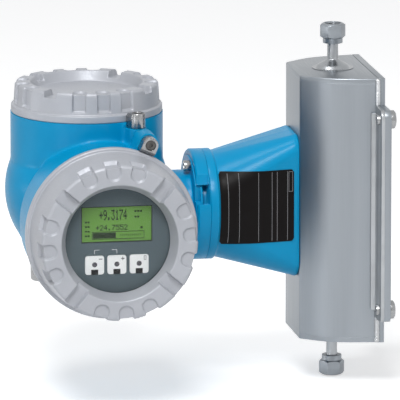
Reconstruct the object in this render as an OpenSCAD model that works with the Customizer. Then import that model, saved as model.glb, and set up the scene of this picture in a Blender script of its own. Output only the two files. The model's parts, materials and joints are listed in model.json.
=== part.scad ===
// Coriolis flow meter: a sensor with a bent measuring tube in a folded steel housing,
// and a field transmitter with two screwed covers on a neck that turns.
// Millimetres. The origin is the middle of the back plate's rear face, +X points out of that
// face, +Z runs along the flow and the display looks toward -Y.

/* [Sensor housing] */
// Height of the sensor housing along the flow
body_h = 210; // [190:1:260]
// Depth of the sensor housing in front of the back plate
body_d = 58; // [54:1:70]
// Width of the narrow face that carries the neck
nose_w = 59; // [52:1:64]
// Width of the housing at the back plate
body_w = 107; // [104:1:124]
// Distance from the back plate to the bend in each flank
shoulder_d = 36; // [32:1:42]
// Width of the housing across the flank bends
shoulder_w = 96; // [88:1:102]
// Radius of the flank bends
shoulder_r = 12; // [6:1:16]
// Thickness of the folded sheet
shell_t = 3; // [2:0.5:4]
// Thickness of the end plates
end_t = 4; // [3:0.5:6]
// Distance from the back plate's outer face to the flow axis
flow_d = 31.3; // [29:0.1:36]

/* [Mounting] */
// Width of the raised mounting pad
pad_w = 96; // [80:1:110]
// Height of the raised mounting pad
pad_h = 124; // [100:1:126]
// Height of the raised mounting pad over the screw heads' plate
pad_t = 5; // [5:0.1:7]
// Thickness of the back plate
plate_t = 5.1; // [4:0.1:8]
// Width across the mounting wings
wing_w = 160; // [152:1:180]
// Height of the mounting wings
wing_h = 168; // [164:1:184]
// Corner radius of the mounting wings
wing_r = 6; // [2:1:12]
// Sheet thickness of the angles behind the wings
angle_t = 2.7; // [2:0.1:4]
// Length of the angles along the housing flank
angle_web = 6.1; // [5:0.1:14]
// Distance between mounting screws across the wings
screw_pitch_y = 138; // [134:1:144]
// Distance between mounting screws along the wings
screw_pitch_z = 151; // [120:1:152]
// Diameter of the mounting screws
screw_d = 8; // [5:1:8]
// Diameter of the mounting screw heads
screw_head_d = 14.5; // [12:0.5:16]
// Height of the mounting screw heads
screw_head_h = 4.9; // [4:0.1:7]

/* [Process connections] */
// Outer diameter of the tube stubs
stub_d = 8.6; // [7:0.1:9]
// Bore of the wetted tubing
tube_bore = 4; // [2:0.5:4]
// Outer diameter of the measuring tube
tube_d = 6; // [5:0.5:7]
// Foot diameter of the flared bosses
boss_d = 32.8; // [24:0.2:40]
// Height of the flared bosses
boss_h = 7; // [5:0.5:10]
// Length of each stub from the end plate to its coupling nut
stub_l = 20; // [18:0.5:40]
// Distance across the flats of the coupling nuts
nut_af = 17.5; // [16.5:0.5:22]
// Length of the hexagon of the coupling nuts
nut_hex_l = 11.5; // [9:0.5:16]
// Length of the round shoulder of the coupling nuts
nut_shoulder_l = 4; // [3:0.5:6]
// Diameter of the round shoulder of the coupling nuts
nut_shoulder_d = 15.6; // [14:0.1:16]
// Thread bore of the coupling nuts
nut_bore = 13; // [12:0.1:13.4]

/* [Neck] */
// Length of the cone between the ring and the sensor housing
cone_l = 65.5; // [50:0.5:90]
// Diameter of the round end of the cone
cone_d = 83; // [74:1:86]
// Width of the wide end of the cone
cone_w = 60; // [52:1:66]
// Height of the wide end of the cone
cone_h = 114; // [90:1:130]
// Corner radius of the wide end of the cone
cone_r = 14; // [8:1:20]
// Outer diameter of the collar
collar_d = 87; // [86:1:96]
// Length of the loose collar
collar_l = 10; // [9:0.5:14]
// Length of the ring at the cone
ring_l = 7; // [5:0.5:12]
// Diameter of the transmitter's neck
neck_d = 54.6; // [50:0.2:58]
// Distance from the vertical compartment's axis to the neck flange
neck_l = 80; // [76:1:110]
// Diameter of the neck flange
flange_d = 77; // [75:1:78]
// Thickness of the neck flange
flange_t = 6; // [4:0.5:7]
// Pitch circle of the neck screws
neck_screw_pcd = 68.6; // [66:0.2:69]
// Diameter of the wire passage through the neck
wire_bore = 24; // [16:1:28]

/* [Nameplate] */
// Length of the nameplate along the cone
label_l = 60; // [30:1:61]
// Height of the nameplate
label_h = 57; // [30:1:58]
// Height of the nameplate's centre above the neck axis
label_z = 2.5; // [-5:0.5:5]
// Thickness of the nameplate
label_t = 0.6; // [0.4:0.1:1]

/* [Transmitter housing] */
// Outer diameter of the vertical connection compartment
conn_d = 119; // [116:1:124]
// Height of the connection compartment's rim above the neck axis
conn_top = 77.5; // [74:0.5:100]
// How far the display cover's flange stands out past the electronics compartment
drum_step = 3.5; // [3:0.5:5]
// Sideways distance of the electronics compartment's axis from the vertical axis
drum_x = 3; // [0:0.5:4]
// Distance from the vertical axis to the electronics compartment's rim
drum_l = 97; // [94:1:120]
// Length of the electronics compartment's full diameter
drum_run = 50; // [40:1:54]
// Wall of the connection compartment
conn_wall = 6; // [5:0.5:8]
// Bore of the electronics compartment
drum_bore_d = 114; // [113:0.5:115]
// Radius of the belly of the casting
belly_r = 64; // [62:1:68]
// Height of the belly's widest place above the neck axis
belly_z = 16; // [12:1:20]
// Depth of the casting's foot below the neck axis
foot_z = 38; // [36:1:44]
// Height of the connection compartment's floor above the neck axis
floor_z = 26; // [22:1:34]
// Thickness of the wall between the compartments
partition_t = 6; // [4:0.5:8]

/* [Cable entries] */
// Distance of each cable entry from the middle plane
entry_x = 29; // [26:1:32]
// Distance of the cable entries behind the vertical axis
entry_y = 27; // [25:1:28]
// Bore of the cable entries
entry_bore = 18.5; // [16:0.1:18.6]
// Length of the thread in the cable entries
entry_thread_l = 12; // [11:0.5:16]
// Outer diameter of the cable entry bosses
entry_boss_d = 27; // [25:0.5:30]
// Depth of the cable entry faces below the neck axis
entry_z = 44; // [42:1:50]
// Head diameter of the blanking plug
plug_d = 23; // [20:0.5:26]
// Head height of the blanking plug
plug_h = 16.5; // [6:0.5:18]
// Thickness of the plug's washer
washer_t = 1.5; // [1:0.1:2]

/* [Covers] */
// Flange diameter of the connection cover
lid_flange_d = 118; // [116:1:119]
// Flange height of the connection cover
lid_flange_h = 6; // [4:0.5:7]
// Crown diameter of the connection cover at its flange
lid_crown_d = 114; // [112:0.5:115]
// Crown diameter of the connection cover at its top
lid_top_d = 111.6; // [110:0.2:112]
// Height of the connection cover above its seat
lid_h = 23.5; // [22:0.5:32]
// Diameter of the connection cover's recess floor
lid_recess_d = 80; // [70:1:82]
// Depth of the connection cover's recess
lid_recess_h = 8; // [6:0.5:9]
// Flange diameter of the display cover
front_flange_d = 134; // [132:1:138]
// Flange height of the display cover
front_flange_h = 6; // [5:0.5:8]
// Width of the display cover's flange past its crown
front_step = 3; // [2:0.5:4]
// How far the display cover's crown narrows toward its front
front_taper = 3.5; // [3:0.5:5]
// Height of the display cover above its seat
front_h = 45; // [44:0.5:56]
// Inner diameter of the display cover's front face
front_face_d = 90.6; // [88:0.2:94]
// Diameter of the clear window
window_d = 81.4; // [80:0.2:84]
// Depth of the bevel round the window
bevel_h = 11; // [9:0.5:12]
// Wall of the covers
cover_wall = 4.3; // [3.5:0.1:5]
// Length of the threaded spigots of the covers
spigot_l = 12; // [10:0.5:16]
// Radial gap between the spigots and the compartment bores
spigot_gap = 0.7; // [0.5:0.1:1]
// Section of the cover seals
seal_d = 2.6; // [2:0.1:3]
// Width of the wrench slots
slot_w = 10; // [8:0.5:12]
// Depth of the wrench slots
slot_h = 5; // [4:0.5:7]
// Width of the grip pockets
grip_w = 10.5; // [8:0.5:12]
// Depth of the grip pockets
grip_t = 1.6; // [1:0.1:2]
// Length of the grip pockets down the cover
grip_h = 15; // [10:0.5:18]
// Number of grip pockets between neighbouring slots
grips = 3; // [1:1:3]
// Angle between neighbouring grip pockets
grip_step = 20; // [18:0.5:21]
// Turn of the connection cover on its thread when tight
lid_turn = 5; // [-10:1:10]
// Turn of the display cover on its thread when tight
front_turn = 5; // [-10:1:10]

/* [Cover clamps] */
// Direction of the connection cover's clamp round its cover
lid_clamp_angle = -63; // [-70:1:-50]
// Direction of the display cover's clamp round its cover
front_clamp_angle = 66.3; // [60:0.1:75]
// Width of the clamps
clamp_w = 12; // [11:1:16]
// Radial depth of the clamps
clamp_d = 13; // [12:0.5:18]
// Height of the clamps
clamp_h = 12; // [10:0.5:16]
// Distance from each cover seat down to its clamp's foot
clamp_drop = 4; // [3:0.5:8]
// Gap between a clamp and the rim of its cover
clamp_gap = 0.6; // [0.4:0.1:1]

/* [Display] */
// Diameter of the display unit
display_d = 83; // [82:0.5:84]
// Thickness of the window glass
glass_t = 4; // [3:0.5:6]
// Overlap of the window glass behind the bezel
glass_lap = 4; // [3:0.5:5]
// Thickness of the bezel lip in front of the glass
lip_t = 1; // [0.8:0.1:2]
// Thickness of the ring that holds the glass
ring_t = 4; // [3:0.5:5]
// Thickness of the display's front panel
panel_t = 3.5; // [3:0.5:5]
// Width of the display field
lcd_w = 55; // [44:1:58]
// Height of the display field
lcd_h = 28; // [22:1:32]
// Height of the display field's centre above the panel's centre
lcd_z = 12; // [9:1:14]
// Width of the touch keys
key_w = 15; // [12:0.5:16]
// Spacing of the touch keys
key_pitch = 17.3; // [16.5:0.1:19]
// Height of the touch keys' centre below the panel's centre
key_z = 19.5; // [17:0.5:21]
// Depth of the display unit behind its panel
display_t = 21; // [16:0.5:24]

/* [Hidden] */
$fn = 96;

// Gap between parts that run or screw on each other
run_gap = 0.3;
// Gap that the tight connection cover leaves over its seat
seat_gap = 0.02;
// Overlap that a cutting shape has past the face it opens
cut = 1;

// Places along X, each worked out from the one before, from the mounting face to the head
plate_x = -pad_t;
back_x = plate_x - plate_t;
nose_x = back_x - body_d;
flow_x = plate_x - flow_d;
ring_x = nose_x - cone_l;
seam_x = ring_x - ring_l;
collar_x = seam_x - collar_l;
flange_proud = 1;
flange_x = collar_x - flange_proud;
head_x = flange_x - neck_l;

// Sensor housing
nose_r = 3;
flank_slope = (body_w - shoulder_w) / 2 / shoulder_d;
end_z = body_h / 2;
sheet_z = end_z - end_t;

// Measuring tube: a C-shaped loop that leaves the flow axis toward +Y
bend_r = 14;
loop_y = 32;
loop_z = 56;
socket_l = 3;
tube_end_z = sheet_z + socket_l - 0.1;
brace_t = 4;
brace_z = loop_z + 2 * bend_r + 4;
arm_end_y = loop_y - 14;
coil_z = 40;
coil_r = 6;
coil_l = 6;
magnet_r = 2.5;

// Process fittings and their coupling nuts
fitting_spigot_r = 8;
gland_r = nut_bore / 2 - 0.5;
gland_l = 5;
boss_foot_l = 0.6;
nut_z = end_z + stub_l;
hex_z = nut_z + nut_shoulder_l;
nut_end_z = hex_z + nut_hex_l;

// Neck
cone_lip = 1.5;
neck_spigot_r = wire_bore / 2 + 8;
neck_screw_d = 5;
neck_screw_head_d = 8.4;
neck_screw_head_h = 5;
neck_screw_angle = 18;
neck_groove_l = 3.4;
neck_seal_d = 3;
window_w = 16;
window_t = 6;
facet_w = 11;
facet_t = 1.2;

// Transmitter housing
conn_r = conn_d / 2;
conn_bore_r = conn_r - conn_wall;
front_crown_d = front_flange_d - 2 * front_step;
front_top_d = front_crown_d - 2 * front_taper;
drum_d = front_flange_d - 2 * drum_step;
drum_r = drum_d / 2;
drum_bore_r = drum_bore_d / 2;
belly_a = 30;
belly_bands = 6;
belly_low_z = belly_z - belly_r * sin(belly_a);
belly_low_r = belly_r * cos(belly_a);
belly_top_a = acos(conn_r / belly_r);
foot_r = belly_low_r - (belly_low_z + foot_z) * tan(belly_a);
well_r = foot_r + conn_wall * (tan(belly_a) - 1);
well_low_z = conn_wall - foot_z;
well_step_z = belly_low_z + 1;
well_wide_r = belly_low_r - conn_wall - 1;
ceiling_z = floor_z - partition_t;
wall_y = 9;
drum_bore_l = drum_l - conn_r + 2.5;
drum_cone_l = 34;
passage_r = 26;
passage_z = ceiling_z - passage_r - 6;
rim_l = 6;
rim_d = drum_d + 3;

// Cover threads and seals
lid_spigot_r = conn_bore_r - spigot_gap;
front_spigot_r = drum_bore_r - spigot_gap;
groove_t = seal_d - 0.3;
groove_l = seal_d + 0.4;
groove_z = 1;
edge_r = 1.2;

// Cover clamps
clamp_boss_l = 24;
clamp_boss_d = clamp_w + 3;
clamp_screw_d = 4;
clamp_screw_head_d = 7.4;
clamp_screw_head_h = 4;

// Display, in heights above the display cover's seat
display_r = display_d / 2;
lip_z = front_h - bevel_h;
glass_top = lip_z - lip_t;
glass_r = window_d / 2 + glass_lap;
seat_r = glass_r + run_gap;
ring_top = glass_top - glass_t;
panel_top = ring_top - 0.5;
panel_base = panel_top - panel_t;
frame_base = panel_base - display_t;
key_t = 1;
lcd_t = 2.4;

// Electronics
carrier_r = front_spigot_r - cover_wall - 2;
carrier_wall = 3;
carrier_top = frame_base - run_gap;
board_w = 74;
board_h = 48;
board_t = 1.6;
post_r = 3;
post_x = board_w / 2 - 6;
post_y = board_h / 2 - 6;
main_board_z = -14;
power_board_z = -28;

// Unit vector from a to b
function toward(a, b) = (b - a) / norm(b - a);

// Points of an arc of radius r that rounds the corner b between a and c
function rounded(a, b, c, r, n) =
    r <= 0 ? [b] :
    let (u = toward(b, a), v = toward(b, c), half = acos(u * v) / 2,
        centre = b + toward([0, 0], u + v) * r / sin(half),
        s = b + u * r / tan(half) - centre, e = b + v * r / tan(half) - centre,
        from = atan2(s[1], s[0]),
        sweep = (atan2(e[1], e[0]) - from + 540) % 360 - 180)
    [for (k = [0:n]) centre + r * [cos(from + sweep * k / n), sin(from + sweep * k / n)]];

// Closed outline with each corner rounded by its own radius
function round_outline(p, r, n = 8) =
    let (m = len(p))
    [for (i = [0:m - 1]) each rounded(p[(i + m - 1) % m], p[i], p[(i + 1) % m], r[i], n)];

// Convex outline moved inward by t
function inset(p, t) =
    let (m = len(p))
    [for (i = [0:m - 1])
        let (u = toward(p[i], p[(i + m - 1) % m]), v = toward(p[i], p[(i + 1) % m]))
        p[i] + toward([0, 0], u + v) * t / sin(acos(u * v) / 2)];

// Plan corners of the sensor housing, run on past the back plate by extra
function body_corners(extra) =
    let (back = [back_x + extra, body_w / 2 + flank_slope * extra],
        bend = [back_x - shoulder_d, shoulder_w / 2], nose = [nose_x, nose_w / 2])
    [[nose[0], -nose[1]], [bend[0], -bend[1]], [back[0], -back[1]], back, bend, nose];

module body_plan() {
    polygon(round_outline(body_corners(0), [nose_r, shoulder_r, 0, 0, shoulder_r, nose_r]));
}

module along_x() {
    rotate([0, 90, 0]) children();
}

// From the head's own axes, which cross at the neck axis
module in_head() {
    translate([head_x, 0, 0]) children();
}

// From the head's frame, with Z along the electronics compartment toward the viewer
module on_drum() {
    translate([drum_x, 0, 0]) rotate([90, 0, 0]) children();
}

// From a frame on the display cover's seat, with Z toward the viewer
module on_front() {
    in_head() on_drum() translate([0, 0, drum_l]) children();
}

// From a frame on the connection cover's seat
module on_top() {
    in_head() translate([0, 0, conn_top]) children();
}

// Both ends of the sensor housing
module both_ends() {
    children();
    mirror([0, 0, 1]) children();
}

module rounded_square(w, h, r) {
    square([w - 2 * r, h], center = true);
    square([w, h - 2 * r], center = true);
    for (x = [-1, 1], y = [-1, 1])
        translate([x * (w / 2 - r), y * (h / 2 - r)]) circle(r, $fn = 48);
}

// Plate across X with a rounded outline w wide in Y and h high in Z
module wall_plate(x, t, w, h, r) {
    translate([x, 0, 0]) along_x() linear_extrude(t) rounded_square(h, w, r);
}

// Positions of the mounting screws
module at_screws() {
    for (y = [-1, 1], z = [-1, 1])
        translate([plate_x, y * screw_pitch_y / 2, z * screw_pitch_z / 2]) children();
}

// ---- Sensor housing ----

module sensor_shell() {
    color("silver") difference() {
        translate([0, 0, -sheet_z]) linear_extrude(2 * sheet_z) body_plan();
        translate([0, 0, -end_z]) linear_extrude(2 * end_z)
            polygon(round_outline(inset(body_corners(2 * shell_t), shell_t),
                [0, shoulder_r - shell_t, 0, 0, shoulder_r - shell_t, 0]));
        translate([nose_x - cut, 0, 0]) along_x() cylinder(d = wire_bore, h = shell_t + 2 * cut);
    }
}

module end_plates() {
    color("silver") both_ends() difference() {
        translate([0, 0, sheet_z]) linear_extrude(end_t) body_plan();
        translate([flow_x, 0, sheet_z - cut])
            cylinder(r = fitting_spigot_r, h = end_t + 2 * cut);
    }
}

module back_plate() {
    color("lightgray") difference() {
        union() {
            translate([back_x, -body_w / 2, -end_z]) cube([plate_t, body_w, body_h]);
            wall_plate(back_x, plate_t, wing_w, wing_h, wing_r);
            wall_plate(plate_x, pad_t, pad_w, pad_h, wing_r);
        }
        at_screws() translate([-plate_t - cut, 0, 0]) along_x()
            cylinder(d = screw_d + run_gap, h = plate_t + 2 * cut);
    }
}

// Angle welded along each flank, its flange clamped behind the wing
module mounting_angles() {
    color("gray") difference() {
        union() {
            intersection() {
                wall_plate(back_x - angle_t, angle_t, wing_w, wing_h, wing_r);
                for (s = [-1, 1]) translate([back_x - angle_t,
                    s > 0 ? body_w / 2 : -wing_w / 2, -wing_h / 2])
                    cube([angle_t, (wing_w - body_w) / 2, wing_h]);
            }
            for (s = [-1, 1]) translate([back_x - angle_web,
                s > 0 ? body_w / 2 : -body_w / 2 - angle_t, -wing_h / 2 + wing_r])
                cube([angle_web, angle_t, wing_h - 2 * wing_r]);
        }
        at_screws() translate([-plate_t - angle_t - cut, 0, 0]) along_x()
            cylinder(d = screw_d + run_gap, h = angle_t + 2 * cut);
    }
}

module mounting_screws() {
    shank = plate_t + angle_t + 2;
    color("dimgray") at_screws() difference() {
        union() {
            translate([-shank, 0, 0]) along_x() cylinder(d = screw_d, h = shank);
            along_x() cylinder(d = screw_head_d, h = screw_head_h - 1);
            translate([screw_head_h - 1, 0, 0]) along_x()
                cylinder(d1 = screw_head_d, d2 = screw_head_d - 3, h = 1);
        }
        translate([screw_head_h - 3, 0, 0]) along_x()
            cylinder(d = screw_d * 0.72, h = 3 + cut, $fn = 6);
    }
}

// ---- Process connections and measuring system ----

// Flared boss, tube stub and gland, turned in one piece for each end
module process_fittings() {
    stub_r = stub_d / 2;
    flare_r = boss_d / 3;
    top = [stub_r, end_z + boss_h];
    foot = [boss_d / 2, end_z + boss_foot_l];
    dir = toward(top, foot);
    rise = sqrt(pow(flare_r, 2) - pow(norm(foot - top) / 2, 2));
    color("silver") both_ends() translate([flow_x, 0, 0]) difference() {
        rotate_extrude() {
            translate([0, sheet_z]) square([fitting_spigot_r - run_gap / 2, end_t]);
            difference() {
                translate([0, end_z]) square([boss_d / 2, boss_h]);
                translate((top + foot) / 2 + rise * [-dir[1], dir[0]]) circle(flare_r);
            }
            translate([0, end_z]) square([stub_r, hex_z + gland_l + 0.5 - end_z]);
            translate([0, hex_z + 0.5]) square([gland_r, gland_l]);
        }
        translate([0, 0, sheet_z - cut]) cylinder(d = tube_bore, h = nut_end_z, $fn = 48);
        translate([0, 0, sheet_z - cut])
            cylinder(d = tube_d + 0.1, h = socket_l + cut, $fn = 48);
    }
}

// Captive nut: a round shoulder behind the gland and a chamfered hexagon
module coupling_nut() {
    corner_r = nut_af / 2 / cos(30);
    translate([flow_x, 0, nut_z]) difference() {
        union() {
            cylinder(d = nut_shoulder_d, h = nut_shoulder_l + cut);
            intersection() {
                translate([0, 0, nut_shoulder_l])
                    cylinder(r = corner_r, h = nut_hex_l, $fn = 6);
                translate([0, 0, nut_shoulder_l]) rotate_extrude() polygon([[0, 0],
                    [nut_af / 2 - 0.4, 0], [corner_r + 0.1, 1.3],
                    [corner_r + 0.1, nut_hex_l - 1.6],
                    [nut_af / 2 - 0.8, nut_hex_l], [0, nut_hex_l]]);
            }
        }
        translate([0, 0, -cut])
            cylinder(d = stub_d + 2 * run_gap + 0.2, h = nut_shoulder_l + 2 * cut);
        translate([0, 0, nut_shoulder_l]) cylinder(d = nut_bore, h = nut_hex_l + cut);
        // Relief round the gland, behind the thread
        translate([0, 0, nut_shoulder_l]) cylinder(d = nut_bore + 0.8, h = gland_l + 0.7);
    }
}

module coupling_nut_top() {
    color("silver") coupling_nut();
}

module coupling_nut_bottom() {
    color("silver") mirror([0, 0, 1]) coupling_nut();
}

// Upper half of the C-shaped loop as a round bar of diameter d
module half_loop(d) {
    out_z = loop_z + 2 * bend_r;
    translate([flow_x, 0, out_z]) cylinder(d = d, h = tube_end_z - out_z, $fn = 48);
    translate([flow_x, bend_r, out_z]) rotate([0, 90, 180]) rotate_extrude(angle = 90)
        translate([bend_r, 0]) circle(d = d, $fn = 48);
    translate([flow_x, bend_r, loop_z + bend_r]) rotate([-90, 0, 0])
        cylinder(d = d, h = loop_y - 2 * bend_r, $fn = 48);
    translate([flow_x, loop_y - bend_r, loop_z]) rotate([0, -90, 0]) rotate_extrude(angle = 90)
        translate([bend_r, 0]) circle(d = d, $fn = 48);
    translate([flow_x, loop_y, 0]) cylinder(d = d, h = loop_z, $fn = 48);
}

module measuring_tube() {
    color("silver") difference() {
        both_ends() half_loop(tube_d);
        both_ends() half_loop(tube_bore);
        for (s = [-1, 1]) translate([flow_x, 0, s * tube_end_z])
            cylinder(d = tube_bore, h = 2 * cut, center = true, $fn = 48);
    }
}

// Stiff bar between the end plates, with a brace round each leg of the tube and three arms
module tube_carrier() {
    bar_t = 8;
    bar_w = 30;
    bar_y = -tube_d / 2 - 6;
    color("gray") difference() {
        union() {
            translate([flow_x - bar_w / 2, bar_y - bar_t, -sheet_z])
                cube([bar_w, bar_t, 2 * sheet_z]);
            both_ends() translate([flow_x - 9, bar_y - cut, brace_z])
                cube([18, -bar_y + cut + 9, brace_t]);
            for (z = [-coil_z, 0, coil_z]) translate([flow_x - 5, bar_y - cut, z - 4])
                cube([10, arm_end_y - bar_y + cut, 8]);
        }
        both_ends() translate([flow_x, 0, brace_z - cut])
            cylinder(d = tube_d + 0.1, h = brace_t + 2 * cut, $fn = 48);
    }
}

// Coil bobbin on the end of a carrier arm
module coil(z) {
    translate([flow_x, arm_end_y, z]) rotate([-90, 0, 0]) difference() {
        union() {
            cylinder(r = coil_r, h = coil_l);
            for (y = [0, coil_l - 0.8]) translate([0, 0, y]) cylinder(r = coil_r + 1, h = 0.8);
        }
        translate([0, 0, coil_l - 3]) cylinder(r = magnet_r + run_gap, h = 3 + cut);
    }
}

module drive_coil() {
    color("peru") coil(0);
}

module pickoff_coils() {
    color("peru") for (z = [-coil_z, coil_z]) coil(z);
}

// Clip round the tube with a magnet that reaches into each coil
module tube_magnets() {
    color("goldenrod") for (z = [-coil_z, 0, coil_z]) translate([flow_x, loop_y, z]) {
        difference() {
            union() {
                cylinder(d = tube_d + 4, h = 8, center = true);
                translate([0, -(loop_y - arm_end_y - coil_l + 2), 0]) rotate([-90, 0, 0])
                    cylinder(r = magnet_r, h = loop_y - arm_end_y - coil_l + 2);
            }
            cylinder(d = tube_d + 0.1, h = 8 + 2 * cut, center = true, $fn = 48);
        }
    }
}

// Sealed plug that brings the wires out through the narrow face
module cable_feedthrough() {
    color("dimgray") translate([nose_x, 0, 0]) along_x() difference() {
        union() {
            translate([0, 0, -2]) cylinder(d = wire_bore - 2 * run_gap, h = shell_t + 2);
            translate([0, 0, shell_t]) cylinder(d = wire_bore + 6, h = 3);
        }
        for (a = [0:60:300]) rotate(a) translate([wire_bore / 4, 0, -2 - cut])
            cylinder(d = 2, h = shell_t + 5 + 2 * cut, $fn = 24);
    }
}

// ---- Neck ----

// Round end to rounded rectangle, grown by extra on every side
module cone_form(extra) {
    hull() {
        translate([ring_x, 0, 0]) along_x() cylinder(d = cone_d + 2 * extra, h = 1, $fn = 64);
        translate([nose_x - cone_lip, 0, 0]) along_x() linear_extrude(cone_lip)
            for (y = [-1, 1], z = [-1, 1])
                translate([z * (cone_h / 2 - cone_r), y * (cone_w / 2 - cone_r)])
                    circle(cone_r + extra, $fn = 32);
    }
}

module neck_cone() {
    color("deepskyblue") difference() {
        union() {
            cone_form(0);
            translate([seam_x, 0, 0]) along_x() cylinder(d = collar_d, h = ring_l);
        }
        translate([seam_x - cut, 0, 0]) along_x()
            cylinder(d = wire_bore, h = ring_l + cone_l + 2 * cut);
        // Pocket for the feedthrough at the housing
        translate([nose_x - 3, 0, 0]) along_x() cylinder(d = wire_bore + 4, h = 3 + cut);
    }
}

// Loose ring that the flange turns in, its screws running in a ring groove
module neck_collar() {
    groove_r1 = neck_screw_pcd / 2 - neck_screw_d / 2 - run_gap;
    groove_r2 = neck_screw_pcd / 2 + neck_screw_d / 2 + run_gap;
    seat_l = flange_t - flange_proud + run_gap;
    color("deepskyblue") difference() {
        translate([collar_x, 0, 0]) along_x() rotate_extrude() difference() {
            polygon([[neck_spigot_r + run_gap, 0], [collar_d / 2 - edge_r, 0],
                [collar_d / 2, edge_r], [collar_d / 2, collar_l],
                [neck_spigot_r + run_gap, collar_l]]);
            translate([0, -cut]) square([flange_d / 2 + run_gap, seat_l + cut]);
            translate([groove_r1, 0]) square([groove_r2 - groove_r1, seat_l + neck_groove_l]);
        }
        // Window onto the flange rim, and the facet above it
        translate([collar_x - cut, -collar_d / 2 - cut, 0])
            cube([collar_l - 0.5 + cut, window_t + cut, window_w]);
        translate([collar_x - cut, -collar_d / 2 - cut, window_w])
            cube([collar_l - 1 + cut, facet_t + cut + collar_d / 2
                - sqrt(pow(collar_d / 2, 2) - pow(window_w + facet_w / 2, 2)), facet_w]);
    }
}

module neck_seal() {
    color("black") translate([flange_x + flange_t + neck_seal_d / 2 + 1, 0, 0]) along_x()
        rotate_extrude() translate([neck_spigot_r - neck_seal_d / 2, 0])
            circle(d = neck_seal_d, $fn = 48);
}

// Thin plate that follows the front of the cone
module nameplate() {
    color("black") intersection() {
        difference() {
            cone_form(label_t);
            cone_form(0);
        }
        translate([ring_x + 1 + label_l / 2, 0, label_z]) rotate([90, 0, 0])
            linear_extrude(collar_d) rounded_square(label_l, label_h, 3);
    }
}

module neck_screws() {
    color("dimgray") for (a = [0:90:270]) translate([flange_x, 0, 0]) along_x()
        rotate(180 + neck_screw_angle + a) translate([neck_screw_pcd / 2, 0, 0]) difference() {
            union() {
                translate([0, 0, -neck_screw_head_h])
                    cylinder(d = neck_screw_head_d, h = neck_screw_head_h);
                cylinder(d = neck_screw_d, h = flange_t + neck_groove_l);
            }
            translate([0, 0, -neck_screw_head_h - cut])
                cylinder(d = neck_screw_d * 0.92, h = 2.5 + cut, $fn = 6);
        }
}

// ---- Transmitter housing ----

// Outside of the casting: bowl, horizontal drum, neck and bosses
module housing_outside() {
    rotate(45) rotate_extrude() polygon([[0, -foot_z], [foot_r, -foot_z],
        for (i = [0:belly_bands]) let (a = -belly_a + i * (belly_a + belly_top_a) / belly_bands)
            [belly_r * cos(a), belly_z + belly_r * sin(a)],
        [conn_r, conn_top - seat_gap], [0, conn_top - seat_gap]]);
    on_drum() {
        translate([0, 0, drum_l - drum_run]) cylinder(d = drum_d, h = drum_run);
        translate([0, 0, drum_l - rim_l]) cylinder(d = rim_d, h = rim_l);
        translate([0, 0, drum_l - drum_run - drum_cone_l])
            cylinder(r1 = foot_z - 2, r2 = drum_r, h = drum_cone_l);
    }
    along_x() cylinder(d = neck_d, h = neck_l);
    translate([neck_l, 0, 0]) along_x() difference() {
        union() {
            cylinder(d = flange_d, h = flange_t);
            cylinder(r = neck_spigot_r, h = flange_proud + collar_l - 0.5);
        }
        translate([0, 0, flange_t + 1]) difference() {
            cylinder(r = neck_spigot_r + cut, h = neck_seal_d);
            cylinder(r = neck_spigot_r - neck_seal_d - 0.05, h = neck_seal_d);
        }
        for (a = [0:90:270]) rotate(180 + neck_screw_angle + a)
            translate([neck_screw_pcd / 2, 0, -cut])
                cylinder(d = neck_screw_d + 2 * run_gap, h = flange_t + 2 * cut);
    }
    for (s = [-1, 1]) translate([s * entry_x, entry_y, -entry_z])
        cylinder(d = entry_boss_d, h = entry_z + well_step_z);
}

// Stepped round well below the connection floor
module well(top_z) {
    translate([0, 0, well_low_z]) cylinder(r = well_r, h = top_z - well_low_z);
    translate([0, 0, well_step_z]) cylinder(r = well_wide_r, h = top_z - well_step_z);
}

module transmitter_housing() {
    color("deepskyblue") in_head() difference() {
        union() {
            housing_outside();
            clamp_boss(lid_clamp_angle, conn_top, lid_flange_d / 2);
            on_drum() clamp_boss(front_clamp_angle, drum_l, front_flange_d / 2);
        }
        // Connection compartment with its cable well behind the partition
        translate([0, 0, floor_z]) cylinder(r = conn_bore_r, h = conn_top);
        intersection() {
            well(floor_z + cut);
            translate([-conn_r, wall_y + partition_t, -foot_z]) cube([conn_d, conn_r, conn_d]);
        }
        // Electronics compartment
        intersection() {
            well(ceiling_z);
            translate([-conn_r, wall_y - conn_d, -foot_z]) cube([conn_d, conn_d, conn_d]);
        }
        on_drum() {
            translate([0, 0, drum_l - drum_bore_l]) cylinder(r = drum_bore_r, h = drum_l);
            translate([0, passage_z, 0]) cylinder(r = passage_r, h = drum_l);
        }
        // Wire passage, cable entries and clamp screw holes
        translate([well_wide_r - 2, 0, 0]) along_x() cylinder(d = wire_bore, h = conn_d);
        for (s = [-1, 1]) translate([s * entry_x, entry_y, -entry_z - cut]) {
            cylinder(d = entry_bore, h = entry_thread_l + cut);
            cylinder(d = entry_bore - 2.5, h = entry_z + well_step_z + 2 * cut);
        }
        clamp_hole(lid_clamp_angle, conn_top, lid_flange_d / 2);
        on_drum() clamp_hole(front_clamp_angle, drum_l, front_flange_d / 2);
    }
}

// ---- Cover clamps: radius r is the rim of the cover, seat its height ----

module at_clamp(angle, seat, r) {
    rotate(angle) translate([r + clamp_gap, 0, seat - clamp_drop]) children();
}

module clamp_boss(angle, seat, r) {
    reach = clamp_d - clamp_w / 2;
    at_clamp(angle, seat, r) translate([reach, 0, -clamp_boss_l]) {
        cylinder(d = clamp_boss_d, h = clamp_boss_l);
        translate([-reach - 6, -clamp_boss_d / 2, 0])
            cube([reach + 6, clamp_boss_d, clamp_boss_l]);
    }
}

module clamp_hole(angle, seat, r) {
    at_clamp(angle, seat, r) translate([clamp_d - clamp_w / 2, 0, -10])
        cylinder(d = clamp_screw_d + 0.1, h = 10 + cut, $fn = 48);
}

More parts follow.
